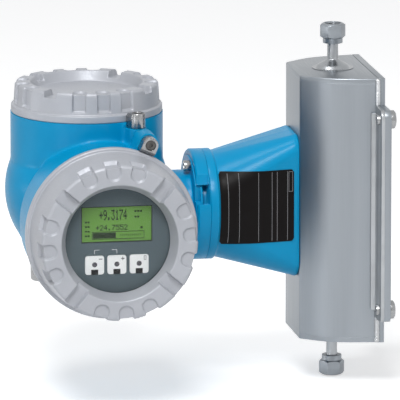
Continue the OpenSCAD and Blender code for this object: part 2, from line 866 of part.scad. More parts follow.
// Block with a round outer end, a bevelled nose beside the rim and a sunk screw
module clamp_block() {
    difference() {
        intersection() {
            linear_extrude(clamp_h) {
                translate([clamp_d - clamp_w / 2, 0]) circle(d = clamp_w);
                translate([0, -clamp_w / 2]) square([clamp_d - clamp_w / 2, clamp_w]);
            }
            translate([0, clamp_w / 2, 0]) rotate([90, 0, 0]) linear_extrude(clamp_w)
                polygon([[0, 0], [clamp_d, 0], [clamp_d, clamp_h], [2, clamp_h],
                    [0, clamp_h - 2]]);
        }
        translate([clamp_d - clamp_w / 2, 0, -cut])
            cylinder(d = clamp_screw_d + 0.4, h = clamp_h + 2 * cut, $fn = 48);
        translate([clamp_d - clamp_w / 2, 0, clamp_h - clamp_screw_head_h])
            cylinder(d = clamp_screw_head_d + 0.6, h = clamp_screw_head_h + cut, $fn = 48);
    }
}

module clamp_screw() {
    foot = clamp_h - clamp_screw_head_h;
    translate([clamp_d - clamp_w / 2, 0, foot]) difference() {
        union() {
            cylinder(d = clamp_screw_head_d, h = clamp_screw_head_h - 0.3);
            translate([0, 0, -foot - 9.5]) cylinder(d = clamp_screw_d, h = foot + 9.5);
        }
        translate([0, 0, 1.4])
            cylinder(d = clamp_screw_d * 0.85, h = clamp_screw_head_h, $fn = 6);
    }
}

module lid_clamp() {
    color("silver") in_head() at_clamp(lid_clamp_angle, conn_top, lid_flange_d / 2) clamp_block();
}

module front_clamp() {
    color("silver") in_head() on_drum()
        at_clamp(front_clamp_angle, drum_l, front_flange_d / 2) clamp_block();
}

module clamp_screws() {
    color("dimgray") in_head() {
        at_clamp(lid_clamp_angle, conn_top, lid_flange_d / 2) clamp_screw();
        on_drum() at_clamp(front_clamp_angle, drum_l, front_flange_d / 2) clamp_screw();
    }
}

// ---- Cable entry plug ----

module at_plug() {
    in_head() translate([-entry_x, entry_y, -entry_z]) mirror([0, 0, 1]) children();
}

module cable_plug() {
    color("silver") at_plug() difference() {
        union() {
            translate([0, 0, -10]) cylinder(d = entry_bore - 0.5, h = 10 + washer_t);
            translate([0, 0, washer_t]) cylinder(d = plug_d, h = plug_h - 1);
            translate([0, 0, washer_t + plug_h - 1]) cylinder(d1 = plug_d, d2 = plug_d - 2, h = 1);
        }
        translate([0, 0, washer_t + plug_h - 6]) cylinder(d = 11.5, h = 6 + cut, $fn = 6);
    }
}

module plug_washer() {
    color("dimgray") at_plug() difference() {
        cylinder(d = plug_d + 3, h = washer_t);
        translate([0, 0, -cut]) cylinder(d = entry_bore, h = washer_t + 2 * cut);
    }
}

// ---- Covers ----

// Threaded spigot with its seal groove; r is its radius, t its wall
module spigot(r) {
    difference() {
        translate([r - cover_wall, -spigot_l]) square([cover_wall, spigot_l + cut]);
        translate([r - groove_t, -groove_z - groove_l]) square([groove_t + cut, groove_l]);
    }
}

module cover_seal(r) {
    color("black") rotate_extrude()
        translate([r - groove_t + seal_d / 2 + 0.05, -groove_z - groove_l / 2])
            circle(d = seal_d, $fn = 48);
}

// Flange and tapered crown of a cover as a solid outline
module crown(flange_r, flange_h, base_r, top_r, h) {
    polygon([[0, 0], [flange_r - edge_r, 0], [flange_r, edge_r], [flange_r, flange_h - edge_r],
        [flange_r - edge_r, flange_h], [base_r, flange_h], [top_r, h - 2 * edge_r],
        [top_r - edge_r / 2, h - edge_r / 2], [top_r - 2 * edge_r, h], [0, h]]);
}

// Four slots for a wrench, from radius r1 out past the crown at r2
module wrench_slots(r1, r2, h) {
    for (a = [45:90:315]) rotate(a)
        translate([r1, -slot_w / 2, h - slot_h]) cube([r2 - r1 + cut, slot_w, slot_h + cut]);
}

// Pockets that wrap over the crown's edge: U-shaped on top and flat-ended down the side
module grip_pockets(r, h, reach) {
    for (q = [0:90:270], i = [1:grips]) rotate(q + (i - (grips + 1) / 2) * grip_step) {
        translate([r - grip_t, -grip_w / 2, h - grip_h]) cube([grip_w, grip_w, grip_h + cut]);
        translate([r - reach, -grip_w / 2, h - grip_t]) cube([reach, grip_w, grip_t + cut]);
        translate([r - reach, 0, h - grip_t]) cylinder(d = grip_w, h = grip_t + cut, $fn = 48);
    }
}

module connection_cover() {
    recess_r = lid_recess_d / 2;
    color("gainsboro") on_top() difference() {
        rotate_extrude() {
            spigot(lid_spigot_r);
            difference() {
                crown(lid_flange_d / 2, lid_flange_h, lid_crown_d / 2, lid_top_d / 2, lid_h);
                polygon([[0, lid_h - lid_recess_h], [recess_r, lid_h - lid_recess_h],
                    [recess_r + 4, lid_h + 0.01], [0, lid_h + 0.01]]);
                square([lid_spigot_r - cover_wall, lid_h - lid_recess_h - cover_wall]);
            }
        }
        rotate(lid_turn) {
            wrench_slots(recess_r - 2, lid_crown_d / 2, lid_h);
            grip_pockets(lid_top_d / 2, lid_h, grip_w / 2);
        }
    }
}

module connection_seal() {
    on_top() cover_seal(lid_spigot_r);
}

module display_cover() {
    inner_r = front_spigot_r - cover_wall;
    seat_base = ring_top - ring_t;
    color("gainsboro") on_front() difference() {
        rotate_extrude() {
            spigot(front_spigot_r);
            difference() {
                crown(front_flange_d / 2, front_flange_h, front_crown_d / 2, front_top_d / 2,
                    front_h);
                polygon([[0, lip_z], [window_d / 2, lip_z], [front_face_d / 2, front_h + 0.01],
                    [0, front_h + 0.01]]);
                translate([0, glass_top - cut]) square([window_d / 2, lip_t + 2 * cut]);
                translate([0, seat_base - cut]) square([seat_r, glass_top - seat_base + cut]);
                polygon([[0, -cut], [inner_r, -cut], [inner_r, seat_base - 6],
                    [seat_r, seat_base], [0, seat_base]]);
            }
        }
        rotate(front_turn) {
            wrench_slots(window_d / 2, front_crown_d / 2, front_h);
            grip_pockets(front_top_d / 2, front_h, grip_w / 2);
        }
    }
}

module display_seal() {
    on_front() cover_seal(front_spigot_r);
}

module window_glass() {
    color("lightcyan", 0.5) on_front() translate([0, 0, ring_top]) cylinder(r = glass_r, h = glass_t);
}

// Screwed ring with two spanner holes that holds the glass
module glass_ring() {
    color("gray") on_front() translate([0, 0, ring_top - ring_t]) difference() {
        cylinder(r = glass_r, h = ring_t);
        translate([0, 0, -cut]) cylinder(r = display_r + 1, h = ring_t + 2 * cut);
    }
}

// ---- Display unit ----

module key_places() {
    for (x = [-1, 0, 1]) translate([x * key_pitch, -key_z]) children();
}

module display_panel() {
    color("slategray") on_front() translate([0, 0, panel_base]) difference() {
        cylinder(r = display_r, h = panel_t);
        translate([-lcd_w / 2, lcd_z - lcd_h / 2, -cut]) cube([lcd_w, lcd_h, panel_t + 2 * cut]);
        translate([0, 0, panel_t - key_t]) linear_extrude(key_t + cut) key_places()
            rounded_square(key_w, key_w, 2);
    }
}

module display_field() {
    color("yellowgreen") on_front() translate([0, lcd_z, panel_top - 1.2 - lcd_t / 2])
        cube([lcd_w - 0.4, lcd_h - 0.4, lcd_t], center = true);
}

module touch_keys() {
    color("white") on_front() translate([0, 0, panel_top - key_t]) linear_extrude(key_t + 0.2)
        key_places() rounded_square(key_w - 0.3, key_w - 0.3, 2);
}

// Cup that carries the panel and its circuit board
module display_frame() {
    color("dimgray") on_front() translate([0, 0, frame_base]) {
        difference() {
            cylinder(r = display_r, h = display_t);
            translate([0, 0, 3]) cylinder(r = display_r - 2.5, h = display_t);
            translate([0, 0, -cut]) cylinder(r = 12, h = 3 + 2 * cut);
        }
        translate([-lcd_w / 2 - 2, lcd_z - lcd_h / 2 - 2, 3 - 0.5])
            cube([lcd_w + 4, lcd_h + 4, display_t - 2.5 + panel_t - 1.2 - lcd_t]);
    }
}

// ---- Electronics ----

// Open drum with a front disc and four posts for the boards
module electronics_carrier() {
    back_z = conn_r - 2.5 - drum_l + run_gap;
    color("dimgray") on_front() {
        difference() {
            translate([0, 0, back_z]) cylinder(r = carrier_r, h = carrier_top - back_z);
            translate([0, 0, back_z - cut])
                cylinder(r = carrier_r - carrier_wall, h = carrier_top - back_z + cut - 3);
            translate([0, 0, carrier_top - 3 - cut]) cylinder(r = 12, h = 3 + 2 * cut);
        }
        for (x = [-1, 1], y = [-1, 1]) translate([x * post_x, y * post_y, power_board_z])
            cylinder(r = post_r, h = carrier_top - 2.5 - power_board_z, $fn = 48);
    }
}

module board() {
    translate([-board_w / 2, -board_h / 2, 0]) cube([board_w, board_h, board_t]);
}

module main_board() {
    color("darkgreen") on_front() translate([0, 0, main_board_z]) {
        difference() {
            board();
            for (x = [-1, 1], y = [-1, 1]) translate([x * post_x, y * post_y, -cut])
                cylinder(r = post_r + 0.1, h = board_t + 2 * cut, $fn = 48);
        }
        for (x = [-1, 0, 1]) translate([x * 18 - 6, -6, board_t]) cube([12, 12, 2]);
        translate([-20, 12, board_t]) cube([40, 8, 6]);
    }
}

module power_board() {
    color("darkgreen") on_front() translate([0, 0, power_board_z - board_t]) {
        board();
        translate([-22, -14, board_t]) cube([20, 26, 9]);
        for (y = [-10, 4]) translate([10, y, board_t]) cylinder(d = 12, h = 9, $fn = 48);
    }
}

// Terminals on the floor of the connection compartment
module terminal_block() {
    base_w = 64;
    base_h = 5;
    pole_w = 7.6;
    color("seagreen") in_head() translate([0, -14, floor_z]) difference() {
        union() {
            translate([-base_w / 2, -20, 0]) cube([base_w, 34, base_h]);
            translate([-base_w / 2 + 1, -10, base_h]) cube([base_w - 2, 18, 14]);
        }
        for (i = [-3.5:3.5]) translate([i * pole_w, 0, base_h]) {
            translate([0, 3, 8]) cylinder(d = 4.6, h = 6 + cut, $fn = 24);
            translate([-2.2, -10 - cut, 2]) cube([4.4, 6 + cut, 5]);
        }
    }
}

sensor_shell();
end_plates();
back_plate();
mounting_angles();
mounting_screws();
process_fittings();
coupling_nut_top();
coupling_nut_bottom();
measuring_tube();
tube_carrier();
drive_coil();
pickoff_coils();
tube_magnets();
cable_feedthrough();
neck_cone();
neck_collar();
neck_seal();
nameplate();
transmitter_housing();
neck_screws();
cable_plug();
plug_washer();
terminal_block();
electronics_carrier();
main_board();
power_board();
lid_clamp();
front_clamp();
clamp_screws();
connection_cover();
connection_seal();
display_cover();
display_seal();
window_glass();
glass_ring();
display_panel();
display_field();
touch_keys();
display_frame();
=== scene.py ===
"""Looks of a coriolis flow meter: painted transmitter head, steel sensor and their fittings."""

import json
import logging
import math
from collections.abc import Callable, Iterator, Sequence
from contextlib import contextmanager
from dataclasses import dataclass
from enum import Enum
from functools import cache
from itertools import product

import bmesh
import bpy
import numpy as np
from mathutils import Matrix, Vector
from mathutils.bvhtree import BVHTree


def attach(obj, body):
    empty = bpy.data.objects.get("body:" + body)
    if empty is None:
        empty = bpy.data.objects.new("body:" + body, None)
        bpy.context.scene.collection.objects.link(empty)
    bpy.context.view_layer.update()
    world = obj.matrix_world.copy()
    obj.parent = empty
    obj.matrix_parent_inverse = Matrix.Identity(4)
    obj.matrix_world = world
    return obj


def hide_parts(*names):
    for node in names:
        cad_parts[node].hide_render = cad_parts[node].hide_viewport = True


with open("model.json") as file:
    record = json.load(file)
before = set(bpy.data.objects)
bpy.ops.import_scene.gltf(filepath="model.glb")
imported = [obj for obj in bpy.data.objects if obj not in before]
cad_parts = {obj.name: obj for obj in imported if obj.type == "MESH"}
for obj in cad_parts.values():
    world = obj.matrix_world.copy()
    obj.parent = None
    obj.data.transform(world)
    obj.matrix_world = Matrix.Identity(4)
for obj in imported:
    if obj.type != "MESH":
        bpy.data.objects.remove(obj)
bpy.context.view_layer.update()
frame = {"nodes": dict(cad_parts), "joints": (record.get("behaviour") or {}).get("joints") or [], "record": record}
log = logging.getLogger("flow_meter")

MM = 0.001
Piece = bpy.types.Object
Node = bpy.types.Node
Point = tuple[float, float, float]
Colour = tuple[float, float, float]
Box = tuple[float, float, float, float]
Profile = list[tuple[float, float, float]]
Placing = Callable[[np.ndarray], np.ndarray]


# ---- Materials ----


class Nodes:
    """Adds and links the nodes of one tree."""

    def __init__(self, tree: bpy.types.NodeTree) -> None:
        """Takes the tree that the nodes go into."""
        self.tree = tree

    def add(self, kind: str, values: dict | None = None, **settings: object) -> Node:
        """Adds a node.

        Args:
            kind: the node's type.
            values: constants of its input sockets, by name or number.
            settings: its attributes.

        Returns:
            The new node.
        """
        node = self.tree.nodes.new(kind)
        for key, value in settings.items():
            setattr(node, key, value)
        for key, value in (values or {}).items():
            node.inputs[key].default_value = value
        return node

    def link(self, a: Node, out: str | int, b: Node, into: str | int) -> None:
        """Links output out of node a to input into of node b."""
        self.tree.links.new(a.outputs[out], b.inputs[into])

    def wire(self, *links: tuple[Node, str | int, Node, str | int]) -> None:
        """Makes several links, each given as node, output, node and input."""
        for link in links:
            self.link(*link)


class Shader(Nodes):
    """Builds one surface material."""

    def __init__(self, name: str, values: dict) -> None:
        """Starts a material.

        Args:
            name: the material's name.
            values: constants of the surface, by socket.
        """
        self.material = bpy.data.materials.new(name)
        self.material.use_nodes = True
        super().__init__(self.material.node_tree)
        self.tree.nodes.clear()
        self.surface = self.add("ShaderNodeBsdfPrincipled", values)
        self.link(self.surface, "BSDF", self.add("ShaderNodeOutputMaterial"), "Surface")

    def mapped(self, texture: Node, values: dict, **settings: str) -> Node:
        """Feeds a texture with mapped Object coordinates.

        Args:
            texture: the texture node.
            values: constants of the mapping.
            settings: its attributes.

        Returns:
            The texture node.
        """
        mapping = self.add("ShaderNodeMapping", values, **settings)
        self.link(self.add("ShaderNodeTexCoord"), "Object", mapping, "Vector")
        self.link(mapping, "Vector", texture, "Vector")
        return texture

    def noise(self, scale: Point, detail: float = 3.0, offset: float = 0.0) -> Node:
        """Adds noise.

        Args:
            scale: how many grains a metre holds along each axis.
            detail: the noise's octaves.
            offset: shift that makes two noises differ.

        Returns:
            The noise node.
        """
        texture = self.add("ShaderNodeTexNoise", {"Scale": 1.0, "Detail": detail})
        place = (offset, offset * 0.7, offset * 1.3)
        return self.mapped(texture, {"Scale": scale, "Location": place})

    def spread(self, source: Node, low: float, high: float) -> Node:
        """Maps a noise's middle range onto low to high.

        Args:
            source: a noise node.
            low: value at its dark end.
            high: value at its bright end.

        Returns:
            The map range node.
        """
        node = self.add("ShaderNodeMapRange", {"From Min": 0.3, "From Max": 0.7,
                                               "To Min": low, "To Max": high})
        self.link(source, "Fac", node, "Value")
        return node

    def bumps(self, layers: Sequence[tuple[Node, float]], radius: float) -> None:
        """Stacks bump layers over softened edges.

        Args:
            layers: pairs of a height node and the height of its relief in metres.
            radius: radius that sharp edges seem to have, in metres, or 0.
        """
        last = self.add("ShaderNodeBevel", {"Radius": radius}, samples=4) if radius > 0 else None
        for source, height in layers:
            bump = self.add("ShaderNodeBump", {"Strength": 1.0, "Distance": height})
            self.link(source, 0, bump, "Height")
            if last:
                self.link(last, "Normal", bump, "Normal")
            last = bump
        if last:
            self.link(last, "Normal", self.surface, "Normal")


class Grain(Enum):
    """What the surface of a finish looks like from near by."""

    SMOOTH = "smooth"
    CAST = "cast"
    BRUSHED = "brushed"
    TURNED = "turned"


# Patches of tone and grains that a metre holds, each across and along the grain
SCALES: dict[Grain, tuple[tuple[float, float], tuple[float, float]]] = {
    Grain.SMOOTH: ((22.0, 22.0), (300.0, 300.0)),
    Grain.CAST: ((22.0, 22.0), (700.0, 700.0)),
    Grain.BRUSHED: ((48.0, 2.0), (2600.0, 28.0)),
    Grain.TURNED: ((22.0, 22.0), (300.0, 300.0)),
}


@dataclass(frozen=True)
class Finish:
    """One finish of the meter and how it is built as a node material; lengths are in mm."""

    name: str
    colour: Colour
    roughness: float = 0.45
    metallic: float = 0.0
    coat: float = 0.0
    grain: Grain = Grain.SMOOTH
    along: int = 2
    centre: Point = (0.0, 0.0, 0.0)
    relief: float = 0.02
    mottle: float = 0.06
    edge: float = 0.0
    shine: float = 0.5

    def material(self) -> bpy.types.Material:
        """Builds the finish's nodes.

        Returns:
            A new material.
        """
        shader = Shader(f"{self.name}_look", {
            "Base Color": (*self.colour, 1.0), "Roughness": self.roughness,
            "Metallic": self.metallic, "Specular IOR Level": self.shine,
            "Coat Weight": self.coat, "Coat Roughness": 0.2})
        self.vary(shader)
        layers: list[tuple[Node, float]] = []
        if self.grain is Grain.TURNED:
            layers.append((self.grooves(shader), self.relief * MM))
        elif self.grain is not Grain.SMOOTH:
            layers.append((shader.noise(self.scale(True), 2.0), self.relief * MM))
        shader.bumps(layers, self.edge * MM)
        return shader.material

    def scale(self, fine: bool) -> Point:
        """Returns how many grains, or else patches of tone, a metre holds along each axis."""
        across, along = SCALES[self.grain][int(fine)]
        return tuple(along if axis == self.along else across for axis in range(3))

    def vary(self, shader: Shader) -> None:
        """Adds a soft variation of colour and of roughness.

        Args:
            shader: the material.
        """
        dark = (*(c * (1 - self.mottle) for c in self.colour), 1.0)
        bright = (*(min(1, c * (1 + self.mottle)) for c in self.colour), 1.0)
        ramp = shader.add("ShaderNodeMix", {6: dark, 7: bright}, data_type="RGBA")
        clouds = shader.noise(self.scale(False), 4.0)
        shader.link(shader.spread(clouds, 0.0, 1.0), 0, ramp, 0)
        shader.link(ramp, 2, shader.surface, "Base Color")
        dull = shader.noise(self.scale(True), 2.0, 3.1)
        spread = shader.spread(dull, self.roughness * 0.85, self.roughness * 1.2)
        shader.link(spread, 0, shader.surface, "Roughness")

    def grooves(self, shader: Shader) -> Node:
        """Adds fine rings round the axis that runs through centre.

        Args:
            shader: the material.

        Returns:
            The wave node.
        """
        wave = shader.add("ShaderNodeTexWave", {"Scale": 180.0, "Distortion": 0.3, "Detail": 0.0},
                          wave_type="RINGS", rings_direction="XYZ"[self.along])
        return shader.mapped(wave, {"Location": tuple(c * MM for c in self.centre)},
                             vector_type="TEXTURE")


PAINT = {"grain": Grain.CAST}
METAL = {"metallic": 1.0, "grain": Grain.CAST}
BRUSHED = {"metallic": 1.0, "grain": Grain.BRUSHED, "relief": 0.002, "mottle": 0.07}
FINISHES: dict[str, Finish] = {
    f.name: f
    for f in (
        Finish("blue_paint", (0.0, 0.262, 0.500), 0.36, coat=0.20, relief=0.010, mottle=0.05,
               edge=0.6, shine=0.06, **PAINT),
        Finish("cover_grey", (0.386, 0.400, 0.434), 0.43, metallic=0.2, relief=0.012,
               mottle=0.04, edge=0.5, shine=0.3, **PAINT),
        Finish("stainless", (0.262, 0.284, 0.308), 0.37, edge=0.5, **BRUSHED),
        Finish("stainless_cross", (0.262, 0.284, 0.308), 0.36, along=1, edge=0.4, **BRUSHED),
        Finish("turned_steel", (0.32, 0.335, 0.35), 0.31, metallic=1.0, grain=Grain.TURNED,
               centre=(-36.3, 0.0, 0.0), relief=0.0015, mottle=0.08, edge=0.3),
        Finish("screw_steel", (0.28, 0.285, 0.29), 0.25, relief=0.004, mottle=0.12, edge=0.25,
               **METAL),
        Finish("weld_bead", (0.46, 0.47, 0.48), 0.36, mottle=0.2, **METAL),
        Finish("cut_edge", (0.37, 0.385, 0.40), 0.34, metallic=1.0, grain=Grain.BRUSHED,
               along=0, relief=0.03, mottle=0.10, edge=0.4),
        Finish("dark_steel", (0.10, 0.098, 0.095), 0.36, relief=0.008, mottle=0.15, edge=0.2,
               **METAL),
        Finish("coil_copper", (0.55, 0.22, 0.09), 0.35, **METAL),
        Finish("magnet_brass", (0.60, 0.44, 0.18), 0.33, **METAL),
        Finish("dark_plastic", (0.020, 0.021, 0.023), 0.48, relief=0.01, edge=0.3, shine=0.3,
               **PAINT),
        Finish("rubber", (0.016, 0.016, 0.017), 0.72, shine=0.2, **PAINT),
        Finish("label_black", (0.006, 0.005, 0.005), 0.34, mottle=0.15, shine=0.07),
        Finish("label_rule", (0.26, 0.26, 0.27), 0.42, mottle=0.05, shine=0.1),
        Finish("terminal_green", (0.05, 0.26, 0.10), edge=0.3, **PAINT),
        Finish("board_green", (0.01, 0.10, 0.04), 0.40, coat=0.3, mottle=0.2),
        Finish("panel_grey", (0.082, 0.115, 0.132), 0.50, relief=0.006, edge=0.3, shine=0.1,
               **PAINT),
        Finish("panel_frame", (0.012, 0.013, 0.014), mottle=0.1, shine=0.1),
        Finish("display_green", (0.130, 0.305, 0.048), 0.32, mottle=0.05, shine=0.1),
        Finish("display_ink", (0.012, 0.028, 0.008), 0.40, mottle=0.1, shine=0.1),
        Finish("key_white", (0.86, 0.88, 0.88), 0.42, mottle=0.03, edge=0.3, shine=0.2),
        Finish("key_print", (0.78, 0.80, 0.81), 0.50, mottle=0.03, shine=0.1),
        Finish("key_lens", (0.05, 0.045, 0.06), 0.15, coat=0.3, mottle=0.1),
        Finish("key_ink", (0.006, 0.006, 0.006), mottle=0.1, shine=0.05),
    )
}


@dataclass(frozen=True)
class ClearGlass:
    """Hardened window glass, clear but for its shine and a little dust."""

    name: str = "window_glass"
    colour: Colour = (0.30, 0.32, 0.32)
    film: float = 0.05

    def material(self) -> bpy.types.Material:
        """Builds the glass, which lets light through to the display behind it.

        Returns:
            A new material.
        """
        shader = Shader(f"{self.name}_look", {"Base Color": (*self.colour, 1.0),
                                              "Alpha": self.film})
        dust = shader.noise((160.0, 160.0, 160.0))
        shader.link(shader.spread(dust, 0.02, 0.08), 0, shader.surface, "Roughness")
        return shader.material


@cache
def finish(name: str) -> bpy.types.Material:
    """Returns the material of a finish or the window glass by its name, built once."""
    return ClearGlass().material() if name == "window_glass" else FINISHES[name].material()


# ---- Meshes ----


ARC_STEP = 0.28  # most radians between two points of a rounded corner
SIDE_SHARE = 0.46  # most of a side that a rounded corner takes
CAD_MERGE = 0.004  # distance in mm under which a CAD node's points are one
CAD_FLAT = 0.6  # degrees under which two of its faces are one
BREAK_ANGLE = 34.0  # least angle in degrees of an edge that is broken
TURN_POINTS = 40  # points of one turn of a thread


@contextmanager
def edited(mesh: bpy.types.Mesh) -> Iterator[bmesh.types.BMesh]:
    """Opens a mesh for editing and writes it back.

    Args:
        mesh: the mesh.

    Yields:
        Its editable form.
    """
    work = bmesh.new()
    work.from_mesh(mesh)
    yield work
    work.to_mesh(mesh)
    work.free()


def placed(name: str, data: bpy.types.ID) -> Piece:
    """Puts a mesh, lamp or camera into the scene.

    Args:
        name: the object's name.
        data: what it shows.

    Returns:
        The new object.
    """
    piece = bpy.data.objects.new(name, data)
    bpy.context.scene.collection.objects.link(piece)
    return piece


def mesh_object(name: str, verts: Sequence[Sequence[float]] | np.ndarray,
                faces: Sequence[Sequence[int]] | np.ndarray = (),
                edges: Sequence[tuple[int, int]] = ()) -> Piece:
    """Makes an object of points and faces, or of points and edges.

    Args:
        name: the object's name.
        verts: points in metres in the meter's frame.
        faces: rings of point numbers.
        edges: pairs of point numbers.

    Returns:
        The new object, in the scene.
    """
    mesh = bpy.data.meshes.new(name)
    mesh.from_pydata([tuple(map(float, v)) for v in verts], list(edges),
                     [tuple(f) for f in faces])
    mesh.validate()
    return placed(name, mesh)


def tidy(piece: Piece, merge: float = 0.002) -> Piece:
    """Merges doubled points and turns every face outward.

    Args:
        piece: the object.
        merge: distance in mm under which points are one.

    Returns:
        The piece.
    """
    with edited(piece.data) as work:
        bmesh.ops.remove_doubles(work, verts=work.verts, dist=merge * MM)
        bmesh.ops.recalc_face_normals(work, faces=work.faces)
    return piece


def smooth(piece: Piece, angle: float = 32.0) -> Piece:
    """Shades smooth between sharp edges.

    Args:
        piece: the object.
        angle: the least angle of a sharp edge, in degrees.

    Returns:
        The piece.
    """
    piece.data.shade_smooth()
    with edited(piece.data) as work:
        for edge in work.edges:
            flat = len(edge.link_faces) == 2 and edge.calc_face_angle(0.0) < math.radians(angle)
            edge.smooth = flat
    return piece


def apply_modifiers(piece: Piece) -> Piece:
    """Turns the modifiers' result into the piece's own mesh.

    Args:
        piece: the object.

    Returns:
        The piece, with no modifiers.
    """
    bpy.context.view_layer.update()
    graph = bpy.context.evaluated_depsgraph_get()
    result = bpy.data.meshes.new_from_object(piece.evaluated_get(graph), depsgraph=graph)
    piece.modifiers.clear()
    piece.data = result
    return piece


def dress(piece: Piece, body: str, slot: str, look: str = "",
          stands_for: Sequence[str] = ()) -> Piece:
    """Gives a finished piece its material, from its finish or else its slot, and its body.

    Args:
        piece: the object.
        body: the CAD body that it moves with.
        slot: the record's material slot.
        look: the finish, where it isn't the slot's own.
        stands_for: CAD nodes that it replaces.

    Returns:
        The piece.
    """
    if not any(piece.data.materials):
        piece.data.materials.clear()
        piece.data.materials.append(finish(look or slot))
    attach(piece, body)
    if stands_for:
        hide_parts(*stands_for)
    return piece


def node_copy(node: str, name: str) -> Piece:
    """Copies a CAD node's mesh, joined up and with its flat faces whole.

    Args:
        node: the CAD node.
        name: the copy's name.

    Returns:
        The copy.
    """
    piece = placed(name, frame["nodes"][node].data.copy())
    piece.data.materials.clear()
    with edited(piece.data) as work:
        bmesh.ops.remove_doubles(work, verts=work.verts, dist=CAD_MERGE * MM)
        bmesh.ops.dissolve_limit(work, angle_limit=math.radians(CAD_FLAT), verts=work.verts,
                                 edges=work.edges, delimit={"NORMAL"})
    return piece


def joint_place(name: str) -> Vector:
    """Returns the point that a joint turns about."""
    return Vector(next(j["pos_m"] for j in frame["joints"] if j["name"] == name))


def as_is(p: np.ndarray) -> np.ndarray:
    """Places points that are already in the meter's frame."""
    return p * MM


def along_x(p: np.ndarray) -> np.ndarray:
    """Places points whose Z runs along the meter's X."""
    return np.stack([p[:, 2], p[:, 0], p[:, 1]], -1) * MM


def shifted(place: Placing, *by: float) -> Placing:
    """Returns a placing that first moves the points by a distance in mm."""
    return lambda p: place(p + by)


def rounding(before: np.ndarray, here: np.ndarray, after: np.ndarray,
             radius: float) -> list[np.ndarray]:
    """Rounds one corner, as far as its sides leave room.

    Args:
        before: the corner before it.
        here: the corner.
        after: the corner after it.
        radius: the radius that rounds it.

    Returns:
        Points along the arc.
    """
    a, b = before - here, after - here
    la, lb = np.linalg.norm(a), np.linalg.norm(b)
    ua, ub = a / la, b / lb
    half = math.acos(float(np.clip(ua @ ub, -1, 1))) / 2
    reach = min(radius / math.tan(half), SIDE_SHARE * la, SIDE_SHARE * lb)
    radius = reach * math.tan(half)
    centre = here + (ua + ub) / np.linalg.norm(ua + ub) * radius / math.sin(half)
    start, end = here + ua * reach - centre, here + ub * reach - centre
    turn = math.atan2(start[0] * end[1] - start[1] * end[0], float(start @ end))
    t = np.linspace(0, turn, max(3, int(abs(turn) / ARC_STEP)) + 1)
    arc = np.outer(np.cos(t), start) + np.outer(np.sin(t), (-start[1], start[0]))
    return list(centre + arc)


def filleted(corners: Profile, closed: bool, step: float = 0.9) -> np.ndarray:
    """Rounds the corners of an outline and divides its straight runs.

    Args:
        corners: points in mm, each with the radius that rounds it.
        closed: True where the last point joins the first.
        step: longest stretch between two points, in mm.

    Returns:
        The points of the outline, in mm.
    """
    pts = [np.array(c[:2], float) for c in corners]
    n = len(pts)
    rounded: list[np.ndarray] = []
    for i, here in enumerate(pts):
        radius = corners[i][2]
        if radius <= 0 or (not closed and i in (0, n - 1)):
            rounded.append(here)
        else:
            rounded += rounding(pts[i - 1], here, pts[(i + 1) % n], radius)
    ends = rounded[1:] + rounded[:1] if closed else rounded[1:]
    out: list[np.ndarray] = []
    for a, b in zip(rounded, ends):
        count = max(1, math.ceil(float(np.linalg.norm(b - a)) / step))
        out += [a + (b - a) * k / count for k in range(count)]
    return np.array(out if closed else [*out, rounded[-1]])


def ring_faces(rows: int, around: int, closed: bool) -> np.ndarray:
    """Returns the quads between rows of points that each run round an axis.

    Args:
        rows: how many rows there are.
        around: points in each row.
        closed: True where the last row joins the first.

    Returns:
        Four point numbers for each quad.
    """
    i = np.arange(rows if closed else rows - 1)[:, None]
    j = np.arange(around)[None, :]
    up, on = (i + 1) % rows, (j + 1) % around
    quads = [i * around + j, i * around + on, up * around + on, up * around + j]
    return np.stack([np.broadcast_to(q, (i.size, around)) for q in quads], -1).reshape(-1, 4)


def turned(name: str, outline: np.ndarray, place: Placing, around: int = 96,
           closed: bool = False) -> Piece:
    """Turns an outline round its axis.

    Args:
        name: the piece's name.
        outline: radii and heights in mm; an open one starts and ends on the axis.
        place: moves local points in mm to the meter's frame in metres.
        around: points round the axis.
        closed: True where the outline is a ring clear of the axis.

    Returns:
        The closed mesh.
    """
    a = np.arange(around) * 2 * math.pi / around
    r, z = outline[:, :1], outline[:, 1:]
    local = np.stack([r * np.cos(a), r * np.sin(a), np.repeat(z, around, 1)], -1)
    piece = mesh_object(name, place(local.reshape(-1, 3)),
                        ring_faces(len(outline), around, closed))
    return tidy(piece, 0.01)


def disc(radius: float, low: float, high: float) -> np.ndarray:
    """Returns the outline of a plain round bar for turning."""
    return np.array([(0, low), (radius, low), (radius, high), (0, high)], float)


def prism(name: str, outline: Sequence[tuple[float, float]], low: float, high: float,
          place: Placing = as_is) -> Piece:
    """Draws an outline out between two heights.

    Args:
        name: the piece's name.
        outline: corners in mm.
        low: height of the foot in mm.
        high: height of the top in mm.
        place: moves local points in mm to the meter's frame in metres.

    Returns:
        The closed mesh.
    """
    n = len(outline)
    flat = np.array(outline, float)
    local = np.concatenate([np.c_[flat, np.full(n, low)], np.c_[flat, np.full(n, high)]])
    sides = [(i, (i + 1) % n, n + (i + 1) % n, n + i) for i in range(n)]
    ends = [tuple(range(n))[::-1], tuple(range(n, 2 * n))]
    return tidy(mesh_object(name, place(local), ends + sides))


def box_outline(x0: float, x1: float, y0: float, y1: float) -> list[tuple[float, float]]:
    """Returns the corners of a rectangle."""
    return [(x0, y0), (x1, y0), (x1, y1), (x0, y1)]


def joined(name: str, pieces: Sequence[Piece]) -> Piece:
    """Joins meshes into one and removes them.

    Args:
        name: the new piece's name.
        pieces: the meshes.

    Returns:
        The new piece.
    """
    mesh = bpy.data.meshes.new(name)
    with edited(mesh) as work:
        for piece in pieces:
            work.from_mesh(piece.data)
            bpy.data.objects.remove(piece)
    return placed(name, mesh)


